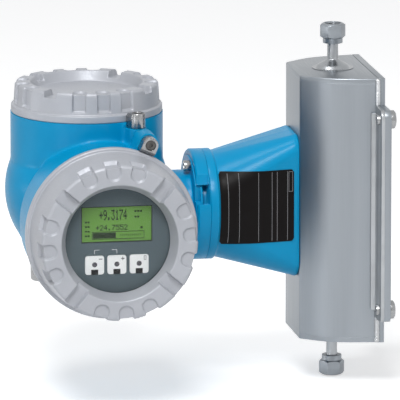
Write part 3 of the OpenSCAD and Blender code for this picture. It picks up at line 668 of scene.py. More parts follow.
def fused(piece: Piece, *others: Piece,
          how: str = "DIFFERENCE") -> Piece:
    """Cuts other closed meshes out of a piece, or adds them, and removes them.

    Args:
        piece: the closed mesh that stays.
        others: the closed meshes that are used up, in order.
        how: DIFFERENCE or UNION.

    Returns:
        The piece.
    """
    for other in others:
        step = piece.modifiers.new("cut", "BOOLEAN")
        step.operation = how
        step.solver = "MANIFOLD"
        step.object = other
        apply_modifiers(piece)
        bpy.data.objects.remove(other)
    return piece


def rounded_edges(piece: Piece, width: float, segments: int = 2) -> Piece:
    """Rounds the sharp edges of a piece.

    Args:
        piece: the object.
        width: the rounding in mm.
        segments: steps across it.

    Returns:
        The piece, shaded smooth.
    """
    step = piece.modifiers.new("edges", "BEVEL")
    step.width = width * MM
    step.segments = segments
    step.limit_method = "ANGLE"
    step.angle_limit = math.radians(BREAK_ANGLE)
    step.use_clamp_overlap = True
    return smooth(apply_modifiers(piece), 30.0)


class Recipe(Nodes):
    """A geometry node tree with named sizes that grows a mesh from points and paths."""

    def __init__(self, name: str, sizes: dict[str, float | int]) -> None:
        """Starts a tree with its inputs.

        Args:
            name: the tree's name.
            sizes: each named input and its value.
        """
        super().__init__(bpy.data.node_groups.new(name, "GeometryNodeTree"))
        face = self.tree.interface
        face.new_socket(name="Geometry", in_out="INPUT", socket_type="NodeSocketGeometry")
        face.new_socket(name="Geometry", in_out="OUTPUT", socket_type="NodeSocketGeometry")
        self.sizes: dict[str, float | int] = {}
        for key, value in sizes.items():
            kind = "NodeSocketInt" if isinstance(value, int) else "NodeSocketFloat"
            socket = face.new_socket(name=key, in_out="INPUT", socket_type=kind)
            self.sizes[socket.identifier] = value
        self.start = self.add("NodeGroupInput")

    def grow(self, name: str, last: Node, look: str,
             verts: Sequence[Sequence[float]] | np.ndarray,
             edges: Sequence[tuple[int, int]] = ()) -> Piece:
        """Ends the tree, runs it on a mesh of points and edges and keeps the result.

        Args:
            name: the piece's name.
            last: the node whose first output is the finished shape.
            look: the finish.
            verts: points in metres.
            edges: pairs of point numbers.

        Returns:
            The piece, a plain mesh.
        """
        real = self.add("GeometryNodeRealizeInstances")
        coat = self.add("GeometryNodeSetMaterial", {"Material": finish(look)})
        self.link(last, 0, real, 0)
        self.link(real, 0, coat, 0)
        self.link(coat, 0, self.add("NodeGroupOutput"), 0)
        piece = mesh_object(name, verts, (), edges)
        step = piece.modifiers.new("recipe", "NODES")
        step.node_group = self.tree
        for identifier, value in self.sizes.items():
            step[identifier] = value
        return apply_modifiers(piece)


def weld(name: str, body: str, paths: Sequence[Sequence[Point]], pitch: float,
         radius: float) -> Piece:
    """Lays a scaly weld bead along paths.

    Args:
        name: the piece's name.
        body: the CAD body that it moves with.
        paths: corners of each path in mm.
        pitch: distance between scales in mm.
        radius: half the bead's width in mm.

    Returns:
        The bead.
    """
    recipe = Recipe(name, {"Pitch": pitch * MM, "Radius": radius * MM, "Seed": 5})
    curve = recipe.add("GeometryNodeMeshToCurve")
    dots = recipe.add("GeometryNodeCurveToPoints", mode="LENGTH")
    scale = recipe.add("GeometryNodeMeshIcoSphere", {"Subdivisions": 2})
    spread = recipe.add("FunctionNodeRandomValue", {0: (0.92, 0.92, 0.75), 1: (1.06, 1.06, 0.95)},
                        data_type="FLOAT_VECTOR")
    lay = recipe.add("GeometryNodeInstanceOnPoints")
    shaded = recipe.add("GeometryNodeSetShadeSmooth")
    start = recipe.start
    recipe.wire((start, "Geometry", curve, "Mesh"), (curve, "Curve", dots, "Curve"),
                (start, "Pitch", dots, "Length"), (start, "Radius", scale, "Radius"),
                (start, "Seed", spread, "Seed"), (dots, "Points", lay, "Points"),
                (scale, "Mesh", lay, "Instance"), (dots, "Rotation", lay, "Rotation"),
                (spread, 0, lay, "Scale"), (lay, "Instances", shaded, "Geometry"))
    verts: list[np.ndarray] = []
    edges: list[tuple[int, int]] = []
    for path in paths:
        edges += [(len(verts) + k, len(verts) + k + 1) for k in range(len(path) - 1)]
        verts += list(as_is(np.array(path)))
    return dress(recipe.grow(name, shaded, "weld_bead", verts, edges), body, "stainless")


def thread(name: str, body: str, slot: str, radius: float, length: float, pitch: float,
           place: Placing, bar: float = 0.55) -> Piece:
    """Winds the crest of a screw thread inside a bore.

    Args:
        name: the piece's name.
        body: the CAD body that it moves with.
        slot: the material slot.
        radius: radius of the bore in mm.
        length: length of the thread in mm.
        pitch: its pitch in mm.
        place: moves local points in mm to the meter's frame in metres.
        bar: size of the crest in mm.

    Returns:
        The thread.
    """
    turns = length / pitch
    count = int(turns * TURN_POINTS)
    k = np.arange(count + 1)
    a = k * turns * 2 * math.pi / count
    local = np.stack([radius * np.cos(a), radius * np.sin(a), length * k / count], -1)
    recipe = Recipe(name, {"Crest": bar * MM, "Corners": 3})
    curve = recipe.add("GeometryNodeMeshToCurve")
    crest = recipe.add("GeometryNodeCurvePrimitiveCircle", mode="RADIUS")
    sweep = recipe.add("GeometryNodeCurveToMesh", {"Fill Caps": True})
    start = recipe.start
    recipe.wire((start, "Geometry", curve, "Mesh"), (start, "Corners", crest, "Resolution"),
                (start, "Crest", crest, "Radius"), (curve, "Curve", sweep, "Curve"),
                (crest, "Curve", sweep, "Profile Curve"))
    piece = recipe.grow(name, sweep, slot, place(local), [(i, i + 1) for i in range(count)])
    return dress(tidy(piece), body, slot)


# ---- Screw covers ----


def soft(distance: np.ndarray, width: float) -> np.ndarray:
    """Returns a smooth step from 0 to 1 over a width, past where distance is 0."""
    t = np.clip(distance / width + 0.5, 0, 1)
    return t * t * (3 - 2 * t)


@dataclass
class ScrewedCover:
    """A cast screw cover: flange, gripped crown, wrench slots and threaded spigot.

    Lengths are in mm, with heights over the face that the flange sits on.
    """

    name: str
    node: str
    body: str
    joint: str
    faces_viewer: bool
    flange_r: float
    base_r: float
    top_r: float
    height: float
    spigot_r: float
    face_r: float
    lip_r: float
    lip_z: float
    turn: float = 5.0
    flange_h: float = 6.0
    wall: float = 4.3
    spigot_l: float = 12.0
    groove_h: float = 3.0
    groove_t: float = 2.3
    thread_pitch: float = 2.0
    thread_t: float = 0.8
    seat_step: float = 4.3
    grip_w: float = 10.2
    grip_t: float = 1.7
    grip_h: float = 15.0
    grip_step: float = 20.0
    grip_soft: tuple[float, float] = (1.1, 1.3)
    slot_w: float = 10.4
    slot_h: float = 5.0
    slot_soft: float = 1.0
    reach: float = 30.0
    around: int = 640

    def outside(self) -> Profile:
        """Lists the corners of the crown, flange, seal groove and threaded spigot.

        Returns:
            Corners from the top face down, in mm, each with its rounding.
        """
        spigot, groove = self.spigot_r, self.spigot_r - self.groove_t
        foot = -1.0 - self.groove_h
        side: Profile = [
            (self.face_r, self.height, 1.3), (self.top_r, self.height, 2.8),
            (self.base_r, self.flange_h, 1.2), (self.flange_r, self.flange_h, 1.6),
            (self.flange_r, 0.0, 1.0), (spigot, 0.0, 0.2), (spigot, -1.0, 0.2),
            (groove, -1.0, 0.0), (groove, foot, 0.0), (spigot, foot, 0.2)]
        z = foot - 0.8
        for _ in range(int((self.spigot_l - 5.4) / self.thread_pitch)):
            side += [(spigot, z, 0.0),
                     (spigot - self.thread_t, z - self.thread_pitch / 2, 0.15)]
            z -= self.thread_pitch
        return [*side, (spigot, z, 0.1), (spigot - 0.5, -self.spigot_l, 0.1),
                (spigot - self.wall, -self.spigot_l, 0.4)]

    def outline(self) -> np.ndarray:
        """Draws the whole section.

        Returns:
            Radii and heights in mm, closed round a window or ended on the axis.
        """
        inner_r = self.spigot_r - self.wall
        if self.faces_viewer:
            seat_r, glass_top = self.lip_r + self.seat_step, self.lip_z - 1.0
            back: Profile = [(inner_r, glass_top - 14.0, 0.8), (seat_r, glass_top - 8.0, 0.5),
                             (seat_r, glass_top, 0.0), (self.lip_r, glass_top, 0.0)]
            return filleted([(self.lip_r, self.lip_z, 0.4), *self.outside(), *back], True)
        under = self.lip_z - self.wall
        ends: Profile = [(inner_r, under, 1.5), (0.0, under, 0.0)]
        return filleted([(0.0, self.lip_z, 0.0), (self.lip_r, self.lip_z, 1.6),
                         *self.outside(), *ends], False)

    def off(self, theta: np.ndarray, middle: float) -> np.ndarray:
        """Returns the angles in degrees from a middle, within half a turn each way."""
        return (theta - middle - self.turn + 180) % 360 - 180

    def carved(self, r: np.ndarray, z: np.ndarray,
               theta: np.ndarray) -> tuple[np.ndarray, np.ndarray]:
        """Presses the grip pockets and wrench slots into the crown.

        Args:
            r: radii in mm.
            z: heights in mm.
            theta: angles in degrees.

        Returns:
            The new radii and heights.
        """
        outer = (r > self.face_r - 0.5 * (self.face_r - self.lip_r)) & (z > self.flange_h)
        half, (side_soft, foot_soft) = self.grip_w / 2, self.grip_soft
        floor_r, floor_z = self.top_r - self.grip_t, self.height - self.grip_t
        for quarter in (0.0, 90.0, 180.0, 270.0):
            for i in (-1, 0, 1):
                off = self.off(theta, quarter + i * self.grip_step)
                across = np.abs(np.radians(off)) * r
                round_end = np.hypot(across, np.minimum(r - self.top_r + half, 0.0))
                mask = soft(half - round_end, side_soft) * (np.abs(off) < self.reach) * outer
                mask = mask * soft(z - self.height + self.grip_h, foot_soft)
                r = r + (np.minimum(r, floor_r) - r) * mask
                z = z + (np.minimum(z, floor_z) - z) * mask * (r > self.face_r - 2)
            off = self.off(theta, quarter + 45.0)
            across = np.abs(np.radians(off)) * r
            mask = soft(self.slot_w / 2 - across, self.slot_soft) * (np.abs(off) < self.reach)
            mask = mask * (r > self.lip_r - 1.0)
            z = z + (np.minimum(z, self.height - self.slot_h) - z) * mask
        return r, z

    def build(self) -> list[Piece]:
        """Casts the cover and carves its crown.

        Returns:
            The finished piece, alone in a list.
        """
        section = self.outline()
        theta = np.arange(self.around) * 360.0 / self.around
        r, z = (np.repeat(part[:, None], self.around, 1) for part in section.T)
        r, z = self.carved(r, z, np.repeat(theta[None, :], len(section), 0))
        a = np.radians(theta)
        local = np.stack([r * np.cos(a), r * np.sin(a), z], -1).reshape(-1, 3) * MM
        if self.faces_viewer:
            local = np.stack([local[:, 0], -local[:, 2], local[:, 1]], -1)
        piece = mesh_object(self.name, local + np.array(joint_place(self.joint)),
                            ring_faces(len(section), self.around, self.faces_viewer))
        smooth(tidy(piece, 0.03), 38.0)
        return [dress(piece, self.body, "cover_grey", stands_for=(self.node,))]


# ---- Transmitter head ----


@dataclass
class HeadCasting:
    """The painted housing: bowl, drum, neck, cable entries and clamp bosses, with its bores.

    Lengths are in mm from the crossing of the head's axes, and angles in degrees.
    """

    name: str = "head_casting"
    body: str = "head"
    bowl_r: float = 59.5
    bowl_top: float = 77.48
    bowl_bore: float = 53.5
    bowl_floor: float = 26.0
    belly_r: float = 64.0
    belly_z: float = 16.0
    belly_low: float = -30.0
    foot_z: float = -38.0
    foot_r: float = 42.7
    drum_x: float = 3.0
    drum_r: float = 63.5
    drum_l: float = 97.0
    drum_foot: tuple[float, float] = (36.0, 13.0)
    drum_cone: float = 47.0
    drum_bore: float = 57.0
    drum_floor: float = 57.0
    rim_r: float = 65.0
    rim_t: float = 5.0
    way_r: float = 26.0
    way_start: float = 4.0
    way_drop: float = 12.0
    well: tuple[Point, ...] = ((-30, 15, 6), (30, 15, 6), (30, 30, 12), (-30, 30, 12))
    well_z: tuple[float, float] = (-30.0, 40.0)
    neck_r: float = 27.3
    neck_l: float = 80.0
    wire_r: float = 12.0
    flange_r: float = 38.5
    flange_t: float = 6.0
    spigot_r: float = 20.0
    bolt_ring: float = 34.3
    bolt_turn: float = 18.0
    bolt_r: float = 2.8
    entry_x: float = 29.0
    entry_y: float = 27.0
    entry_r: float = 13.5
    entry_z: float = -44.0
    mouth_r: float = 10.1
    thread_r: float = 9.25
    thread_l: float = 12.0
    drill_r: float = 8.0
    drill_top: float = -12.0
    boss_x: float = 7.0
    boss_w: float = 15.0
    boss_l: float = 24.0
    seat_out: float = 22.0
    seat_half: float = 12.0
    spare: float = 4.0
    lid_rim: float = 59.0
    lid_angle: float = -63.0
    lid_seat: float = 73.5
    front_rim: float = 67.0
    front_angle: float = 66.3
    front_seat: float = 93.0
    notch: Box = (-45.0, -32.5, 8.5, 21.0)
    cell: float = 1.15
    rounds: int = 12

    def origin(self) -> np.ndarray:
        """Returns the crossing of the head's axes in metres."""
        return np.array(joint_place("connection_cover_turn")) * (1, 1, 0)

    def upright(self, p: np.ndarray) -> np.ndarray:
        """Places points of the bowl's frame."""
        return as_is(p) + self.origin()

    def forward(self, p: np.ndarray) -> np.ndarray:
        """Places points of the drum's frame, whose Z runs toward the display."""
        return self.upright(np.stack([p[:, 0] + self.drum_x, -p[:, 2], p[:, 1]], -1))

    def sideways(self, p: np.ndarray) -> np.ndarray:
        """Places points of the neck's frame, whose Z runs toward the sensor."""
        return along_x(p) + self.origin()

    def at_entry(self, side: int, height: float = 0.0) -> Placing:
        """Returns a placing on the axis of a cable entry, from a height in mm."""
        return shifted(self.upright, side * self.entry_x, self.entry_y, height)

    def at_clamp(self, angle: float, rim: float, place: Placing) -> Placing:
        """Returns a placing that starts at a cover's rim and points outward.

        Args:
            angle: the clamp's angle in degrees.
            rim: the cover's radius in mm.
            place: the placing of the compartment.

        Returns:
            The placing.
        """
        c, s = math.cos(math.radians(angle)), math.sin(math.radians(angle))

        def put(p: np.ndarray) -> np.ndarray:
            """Places points of the clamp's frame."""
            x, y = p[:, 0] + rim + 0.6, p[:, 1]
            return place(np.stack([x * c - y * s, x * s + y * c, p[:, 2]], -1))

        return put

    def clamps(self) -> list[tuple[Placing, float, float]]:
        """Places the clamps of the two covers.

        Returns:
            Each clamp's placing, height of seat and inner edge of seat in mm.
        """
        lid = self.at_clamp(self.lid_angle, self.lid_rim, self.upright)
        front = self.at_clamp(self.front_angle, self.front_rim, self.forward)
        return [(lid, self.lid_seat, 0.0), (front, self.front_seat, -2.0)]

    def clamp_form(self, place: Placing, seat: float) -> Piece:
        """Returns the rough boss under a clamp, rounded at its outer end.

        Args:
            place: the clamp's placing.
            seat: height of the boss's top in mm.

        Returns:
            The closed mesh.
        """
        half = self.boss_w / 2
        arc = [(self.boss_x + half * math.cos(t), half * math.sin(t))
               for t in np.linspace(-math.pi / 2, math.pi / 2, 13)]
        back = [(-self.boss_x, half), (-self.boss_x, -half)]
        return prism("boss", back + arc, seat - self.boss_l, seat + 3.0, place)

    def rough(self) -> Piece:
        """Melts the rough forms into one closed skin with cast fillets.

        Returns:
            The casting's outside.
        """
        sweep = np.linspace(self.belly_low, math.degrees(math.acos(self.bowl_r / self.belly_r)), 40)
        belly = [(self.belly_r * math.cos(a), self.belly_z + self.belly_r * math.sin(a))
                 for a in np.radians(sweep)]
        top, far, rim = self.bowl_top + self.spare, self.drum_l + self.spare, self.rim_t
        bowl = np.array([(0, self.foot_z), (self.foot_r, self.foot_z), *belly,
                         (self.bowl_r, top), (0, top)])
        drum = np.array([(0, self.drum_foot[1]), self.drum_foot, (self.drum_r, self.drum_cone),
                         (self.drum_r, self.drum_l - rim - 1), (self.rim_r, self.drum_l - rim),
                         (self.rim_r, far), (0, far)])
        boss = disc(self.entry_r, self.entry_z - 3, -10)
        piece = joined(self.name, [
            turned("bowl", bowl, self.upright, 180),
            turned("drum", drum, self.forward, 180),
            turned("neck", disc(self.neck_r, 10, self.neck_l + 2), self.sideways, 120),
            *(self.clamp_form(place, seat) for place, seat, _ in self.clamps()),
            *(turned("entry", boss, self.at_entry(side), 64) for side in (-1, 1)),
        ])
        skin = piece.modifiers.new("skin", "REMESH")
        skin.mode = "VOXEL"
        skin.voxel_size = self.cell * MM
        soften = piece.modifiers.new("fillets", "SMOOTH")
        soften.factor = 0.5
        soften.iterations = self.rounds
        return apply_modifiers(piece)

    def seats(self) -> list[Piece]:
        """Makes the cutters of the faces that the covers, clamps and plugs sit on.

        Returns:
            Closed meshes, in the order of cutting.
        """
        wide = self.seat_half
        # Each cutter reaches well past the casting on its free sides
        return [
            prism("cut", box_outline(-70, 70, -62, 62), self.bowl_top, 90, self.upright),
            turned("cut", disc(90, self.drum_l, self.drum_l + 20), self.forward),
            prism("cut", box_outline(-60, 60, 0, 60), -60, self.entry_z, self.upright),
            turned("cut", disc(60, self.neck_l, self.neck_l + 20), self.sideways),
            *(prism("cut", box_outline(edge, self.seat_out, -wide, wide), seat, seat + 12, place)
              for place, seat, edge in self.clamps()),
        ]

    def flange(self) -> Piece:
        """Turns the flange and the grooved spigot that run in the neck's collar.

        Returns:
            The closed mesh.
        """
        start, r = self.neck_l, self.spigot_r
        end = start + self.flange_t
        outline = filleted([(0, start - 6, 0), (self.neck_r - 0.4, start - 6, 0),
                            (self.neck_r + 0.6, start, 1.4), (self.flange_r, start, 0.8),
                            (self.flange_r, end, 0.8), (r, end, 0.3), (r, end + 1, 0),
                            (r - 2.9, end + 1, 0), (r - 2.9, end + 4, 0), (r, end + 4, 0),
                            (r, end + 4.5, 0.2), (0, end + 4.5, 0)], False, 3.0)
        return turned("flange", outline, self.sideways, 160)

    def bolt(self, quarter: int) -> Piece:
        """Makes the cutter of one screw hole through the flange.

        Args:
            quarter: which of the four holes.

        Returns:
            The closed mesh.
        """
        a = math.radians(self.bolt_turn + 90 * quarter)
        place = shifted(self.sideways, self.bolt_ring * math.sin(a),
                        -self.bolt_ring * math.cos(a), 0)
        return turned("cut", disc(self.bolt_r, self.neck_l - 1, self.neck_l + 8), place, 24)

    def bores(self) -> list[Piece]:
        """Makes the cutters of the compartments, entries, wire way, holes and notch.

        Returns:
            Closed meshes, in the order of cutting.
        """
        up, on, side = self.upright, self.forward, self.sideways
        foot, r, drill, top = self.entry_z, self.thread_r, self.drill_r, self.drill_top
        end = foot + self.thread_l
        mouth = np.array([(0, -60), (self.mouth_r, -60), (self.mouth_r, foot), (r, foot + 0.9),
                          (r, end), (drill, end + 0.5), (drill, top), (0, top)])
        return [
            turned("cut", disc(self.bowl_bore, self.bowl_floor, 100), up, 160),
            turned("cut", disc(self.drum_bore, self.drum_floor, 120), on, 160),
            turned("cut", disc(self.way_r, self.way_start, 100),
                   shifted(on, 0, -self.way_drop, 0), 96),
            prism("cut", filleted(list(self.well), True, 4.0), *self.well_z, up),
            turned("cut", disc(self.wire_r, 40, 120), side, 64),
            *(turned("cut", mouth, self.at_entry(entry), 64) for entry in (-1, 1)),
            *(self.bolt(quarter) for quarter in range(4)),
            prism("cut", box_outline(*self.notch), self.neck_l - 8, self.neck_l + 4, side),
        ]

    def build(self) -> list[Piece]:
        """Casts and machines the housing.

        Returns:
            The casting and the thread of its open cable entry.
        """
        piece = fused(self.rough(), *self.seats())
        fused(piece, self.flange(), how="UNION")
        smooth(fused(piece, *self.bores()), 40.0)
        dress(piece, self.body, "blue_paint", stands_for=("transmitter_housing",))
        return [piece, thread("entry_thread", self.body, "blue_paint", radius=self.thread_r,
                              length=self.thread_l - 1.5, pitch=1.5,
                              place=self.at_entry(1, self.entry_z + 1.0))]


# ---- Neck ----


@dataclass
class NeckCone:
    """Cast cone from the round collar to the rounded rectangle on the sensor, with its plate.

    Lengths are in mm, with X, Y and Z of the meter's frame, and angles in degrees.
    """

    name: str = "neck_casting"
    body: str = "sensor"
    seam_x: float = -140.6
    ring_x: float = -133.6
    end_x: float = -68.1
    ring_r: float = 43.5
    cone_r: float = 41.5
    half_w: float = 30.0
    half_h: float = 57.0
    corner_r: float = 14.0
    flat_from: float = 0.10
    flat_over: float = 0.12
    bore_r: float = 12.0
    seat_r: float = 14.0
    seat_t: float = 4.0
    plate_x: tuple[float, float] = (-132.6, -72.6)
    plate_z: tuple[float, float] = (-26.0, 31.0)
    plate_t: float = 0.6
    plate_corner: float = 2.2
    rules: tuple[float, ...] = (6.5, 15.3, 31.0, 42.0, 46.2, 54.7)
    rule_w: float = 0.32
    rule_gap: float = 1.2
    frame_x: tuple[float, float] = (55.6, 59.0)
    frame_z: tuple[float, float] = (39.5, 55.4)
    frame_w: float = 0.3
    window: Box = (-45.0, -33.0, 0.8, 15.2)
    window_x: tuple[float, float] = (-153.0, -141.4)
    collar_turn: float = -10.0
    around: int = 240

    def spokes(self) -> np.ndarray:
        """Returns the unit vectors in Y and Z at even angles."""
        a = np.arange(self.around) * 2 * math.pi / self.around + 1e-4
        return np.stack([np.cos(a), np.sin(a)], -1)

    def section(self, t: float) -> np.ndarray:
        """Returns the outline across the cone.

        Args:
            t: 0 at the ring and 1 at the sensor.

        Returns:
            Points in Y and Z, in mm, at even angles of the ring.
        """
        arc = self.spokes()
        core = np.array([self.half_w, self.half_h]) - self.corner_r
        spread = np.sign(arc) * np.clip((np.abs(arc) - self.flat_from) / self.flat_over, 0, 1)
        flat = spread * core + self.corner_r * arc
        return self.cone_r * arc + (flat - self.cone_r * arc) * t

    def rows(self) -> list[np.ndarray]:
        """Draws the outside from the seam to the sensor.

        Returns:
            Rows of points in mm.
        """
        seam, ring, r = self.seam_x, self.ring_x, self.ring_r
        band = [(seam, 0.0), (seam, r - 1.2), (seam + 0.35, r - 0.35), (seam + 1.2, r),
                (ring - 0.9, r), (ring - 0.25, r - 0.3), (ring, r - 0.9)]
        rows = [(x, self.spokes() * radius) for x, radius in band]
        for t in (0.006, *np.linspace(0.02, 0.965, 34), 0.985, 1.0):
            outline = self.section(min(t / 0.978, 1.0))
            drop = max(0.0, (t - 0.965) / 0.035) ** 2 - 0.9 * max(0.0, 1 - t / 0.03) ** 2
            scale = 1 - drop / np.linalg.norm(outline, axis=1, keepdims=True)
            rows.append((ring + t * (self.end_x - ring), outline * scale))
        rows.append((self.end_x, self.spokes() * 0.0))
        return [np.c_[np.full(self.around, x), outline] for x, outline in rows]

    def casting(self) -> Piece:
        """Casts and bores the cone with its ring.

        Returns:
            The casting.
        """
        rows = self.rows()
        piece = tidy(mesh_object(self.name, as_is(np.concatenate(rows)),
                                 ring_faces(len(rows), self.around, False)), 0.01)
        start, seat, end = self.seam_x - 5, self.end_x - self.seat_t, -60.0
        bore = np.array([(0, start), (self.bore_r, start), (self.bore_r, seat),
                         (self.seat_r, seat), (self.seat_r, end), (0, end)])
        smooth(fused(piece, turned("cut", bore, along_x, 64)), 24.0)
        return dress(piece, self.body, "blue_paint", stands_for=("neck_cone",))

    def on_front(self, tree: BVHTree, x: float, z: float, rise: float) -> Point:
        """Returns the point of the cone's front at x and z in mm, raised by rise in mm."""
        hit = tree.ray_cast(Vector((x * MM, -0.2, z * MM)), Vector((0, 1, 0)))[0]
        return (x * MM, hit.y - rise * MM, z * MM)

    def sheet(self, tree: BVHTree, name: str, box: Box, heights: tuple[float, float],
              corner: float = 0.0, step: float = 1.5) -> Piece:
        """Returns a thin plate that follows the cone's front.

        Args:
            tree: the cone's surface.
            name: the plate's name.
            box: its ends along X and then along Z, in mm.
            heights: heights of its underside and its face over the cone, in mm.
            corner: radius of its corners in mm.
            step: distance between its points in mm.

        Returns:
            The closed mesh.
        """
        left, right, low, high = box
        nx = max(2, math.ceil((right - left) / step)) + 1
        nz = max(2, math.ceil((high - low) / step)) + 1
        verts: list[Point] = []
        for rise, i, k in product(heights, range(nx), range(nz)):
            x = left + i / (nx - 1) * (right - left)
            dx = max(0.0, corner - min(x - left, right - x))
            cut = corner - math.sqrt(max(0.0, corner ** 2 - dx ** 2))
            z = low + cut + k / (nz - 1) * (high - low - 2 * cut)
            verts.append(self.on_front(tree, x, z, rise))
        faces: list[tuple[int, ...]] = []
        n = nx * nz
        for i, k in product(range(nx - 1), range(nz - 1)):
            a, b = i * nz + k, (i + 1) * nz + k
            faces += [(a, b, b + 1, a + 1), (n + a, n + a + 1, n + b + 1, n + b)]
        rim = [i * nz for i in range(nx)] + [(nx - 1) * nz + k for k in range(1, nz)]
        rim += [i * nz + nz - 1 for i in range(nx - 2, -1, -1)] + list(range(nz - 2, 0, -1))
        faces += [(a, b, n + b, n + a) for a, b in zip(rim, rim[1:] + rim[:1])]
        return smooth(tidy(mesh_object(name, verts, faces)), 35.0)

    def plate(self, cone: Piece) -> list[Piece]:
        """Returns the bare nameplate and its engraved rules.

        Args:
            cone: the finished casting.

        Returns:
            The plate and its rules.
        """
        work = bmesh.new()
        work.from_mesh(cone.data)
        tree = BVHTree.FromBMesh(work)
        work.free()
        (x0, x1), (z0, z1), top = self.plate_x, self.plate_z, self.plate_t
        plate = self.sheet(tree, "plate", (x0, x1, z0, z1), (-0.1, top - 0.06), self.plate_corner)
        dress(plate, self.body, "label_black", stands_for=("nameplate",))
        half, gap, line = self.rule_w / 2, self.rule_gap, self.frame_w
        boxes = [(x0 + r - half, x0 + r + half, z0 + gap, z1 - gap) for r in self.rules]
        (left, right), (low, high) = (x0 + x for x in self.frame_x), (z0 + z for z in self.frame_z)
        boxes += [(left, right, low, low + line), (left, right, high - line, high),
                  (left, left + line, low, high), (right - line, right, low, high)]
        rules = joined("plate_rules", [self.sheet(tree, "rule", box, (top - 0.1, top - 0.02))
                                       for box in boxes])
        return [plate, dress(rules, self.body, "label_black", "label_rule")]

    def build(self) -> list[Piece]:
        """Makes the cone, the collar with its window, and the nameplate.

        Returns:
            The finished pieces.
        """
        cone = self.casting()
        collar = fused(node_copy("neck_collar", "collar"),
                       prism("cut", box_outline(*self.window), *self.window_x, along_x))
        collar.data.transform(Matrix.Rotation(math.radians(self.collar_turn), 4, "X"))
        rounded_edges(collar, 0.5)
        dress(collar, self.body, "blue_paint", stands_for=("neck_collar",))
        return [cone, collar, *self.plate(cone)]


# ---- Sensor ----


# CAD node, name, body, finish, rounding of the edges in mm and the steps across it
EDGED: tuple[tuple[str, str, str, str, float, int], ...] = (
    ("back_plate", "back_casting", "sensor", "stainless", 0.8, 2),
    ("mounting_angles", "angles", "sensor", "cut_edge", 0.7, 2),
    ("mounting_screws", "mount_screws", "sensor", "screw_steel", 0.5, 2),
    ("process_fittings", "fittings", "sensor", "turned_steel", 0.3, 2),
    ("coupling_nut_top", "nut_top", "top_nut", "stainless", 0.35, 2),
    ("coupling_nut_bottom", "nut_bottom", "bottom_nut", "stainless", 0.35, 2),
    ("lid_clamp", "clamp_lid", "head", "screw_steel", 0.8, 3),
    ("front_clamp", "clamp_front", "head", "screw_steel", 0.8, 3),
    ("clamp_screws", "clamp_bolts", "head", "dark_steel", 0.3, 2),
    ("cable_plug", "blank_plug", "head", "screw_steel", 0.5, 2),
    ("neck_screws", "neck_bolts", "head", "screw_steel", 0.3, 2),
)


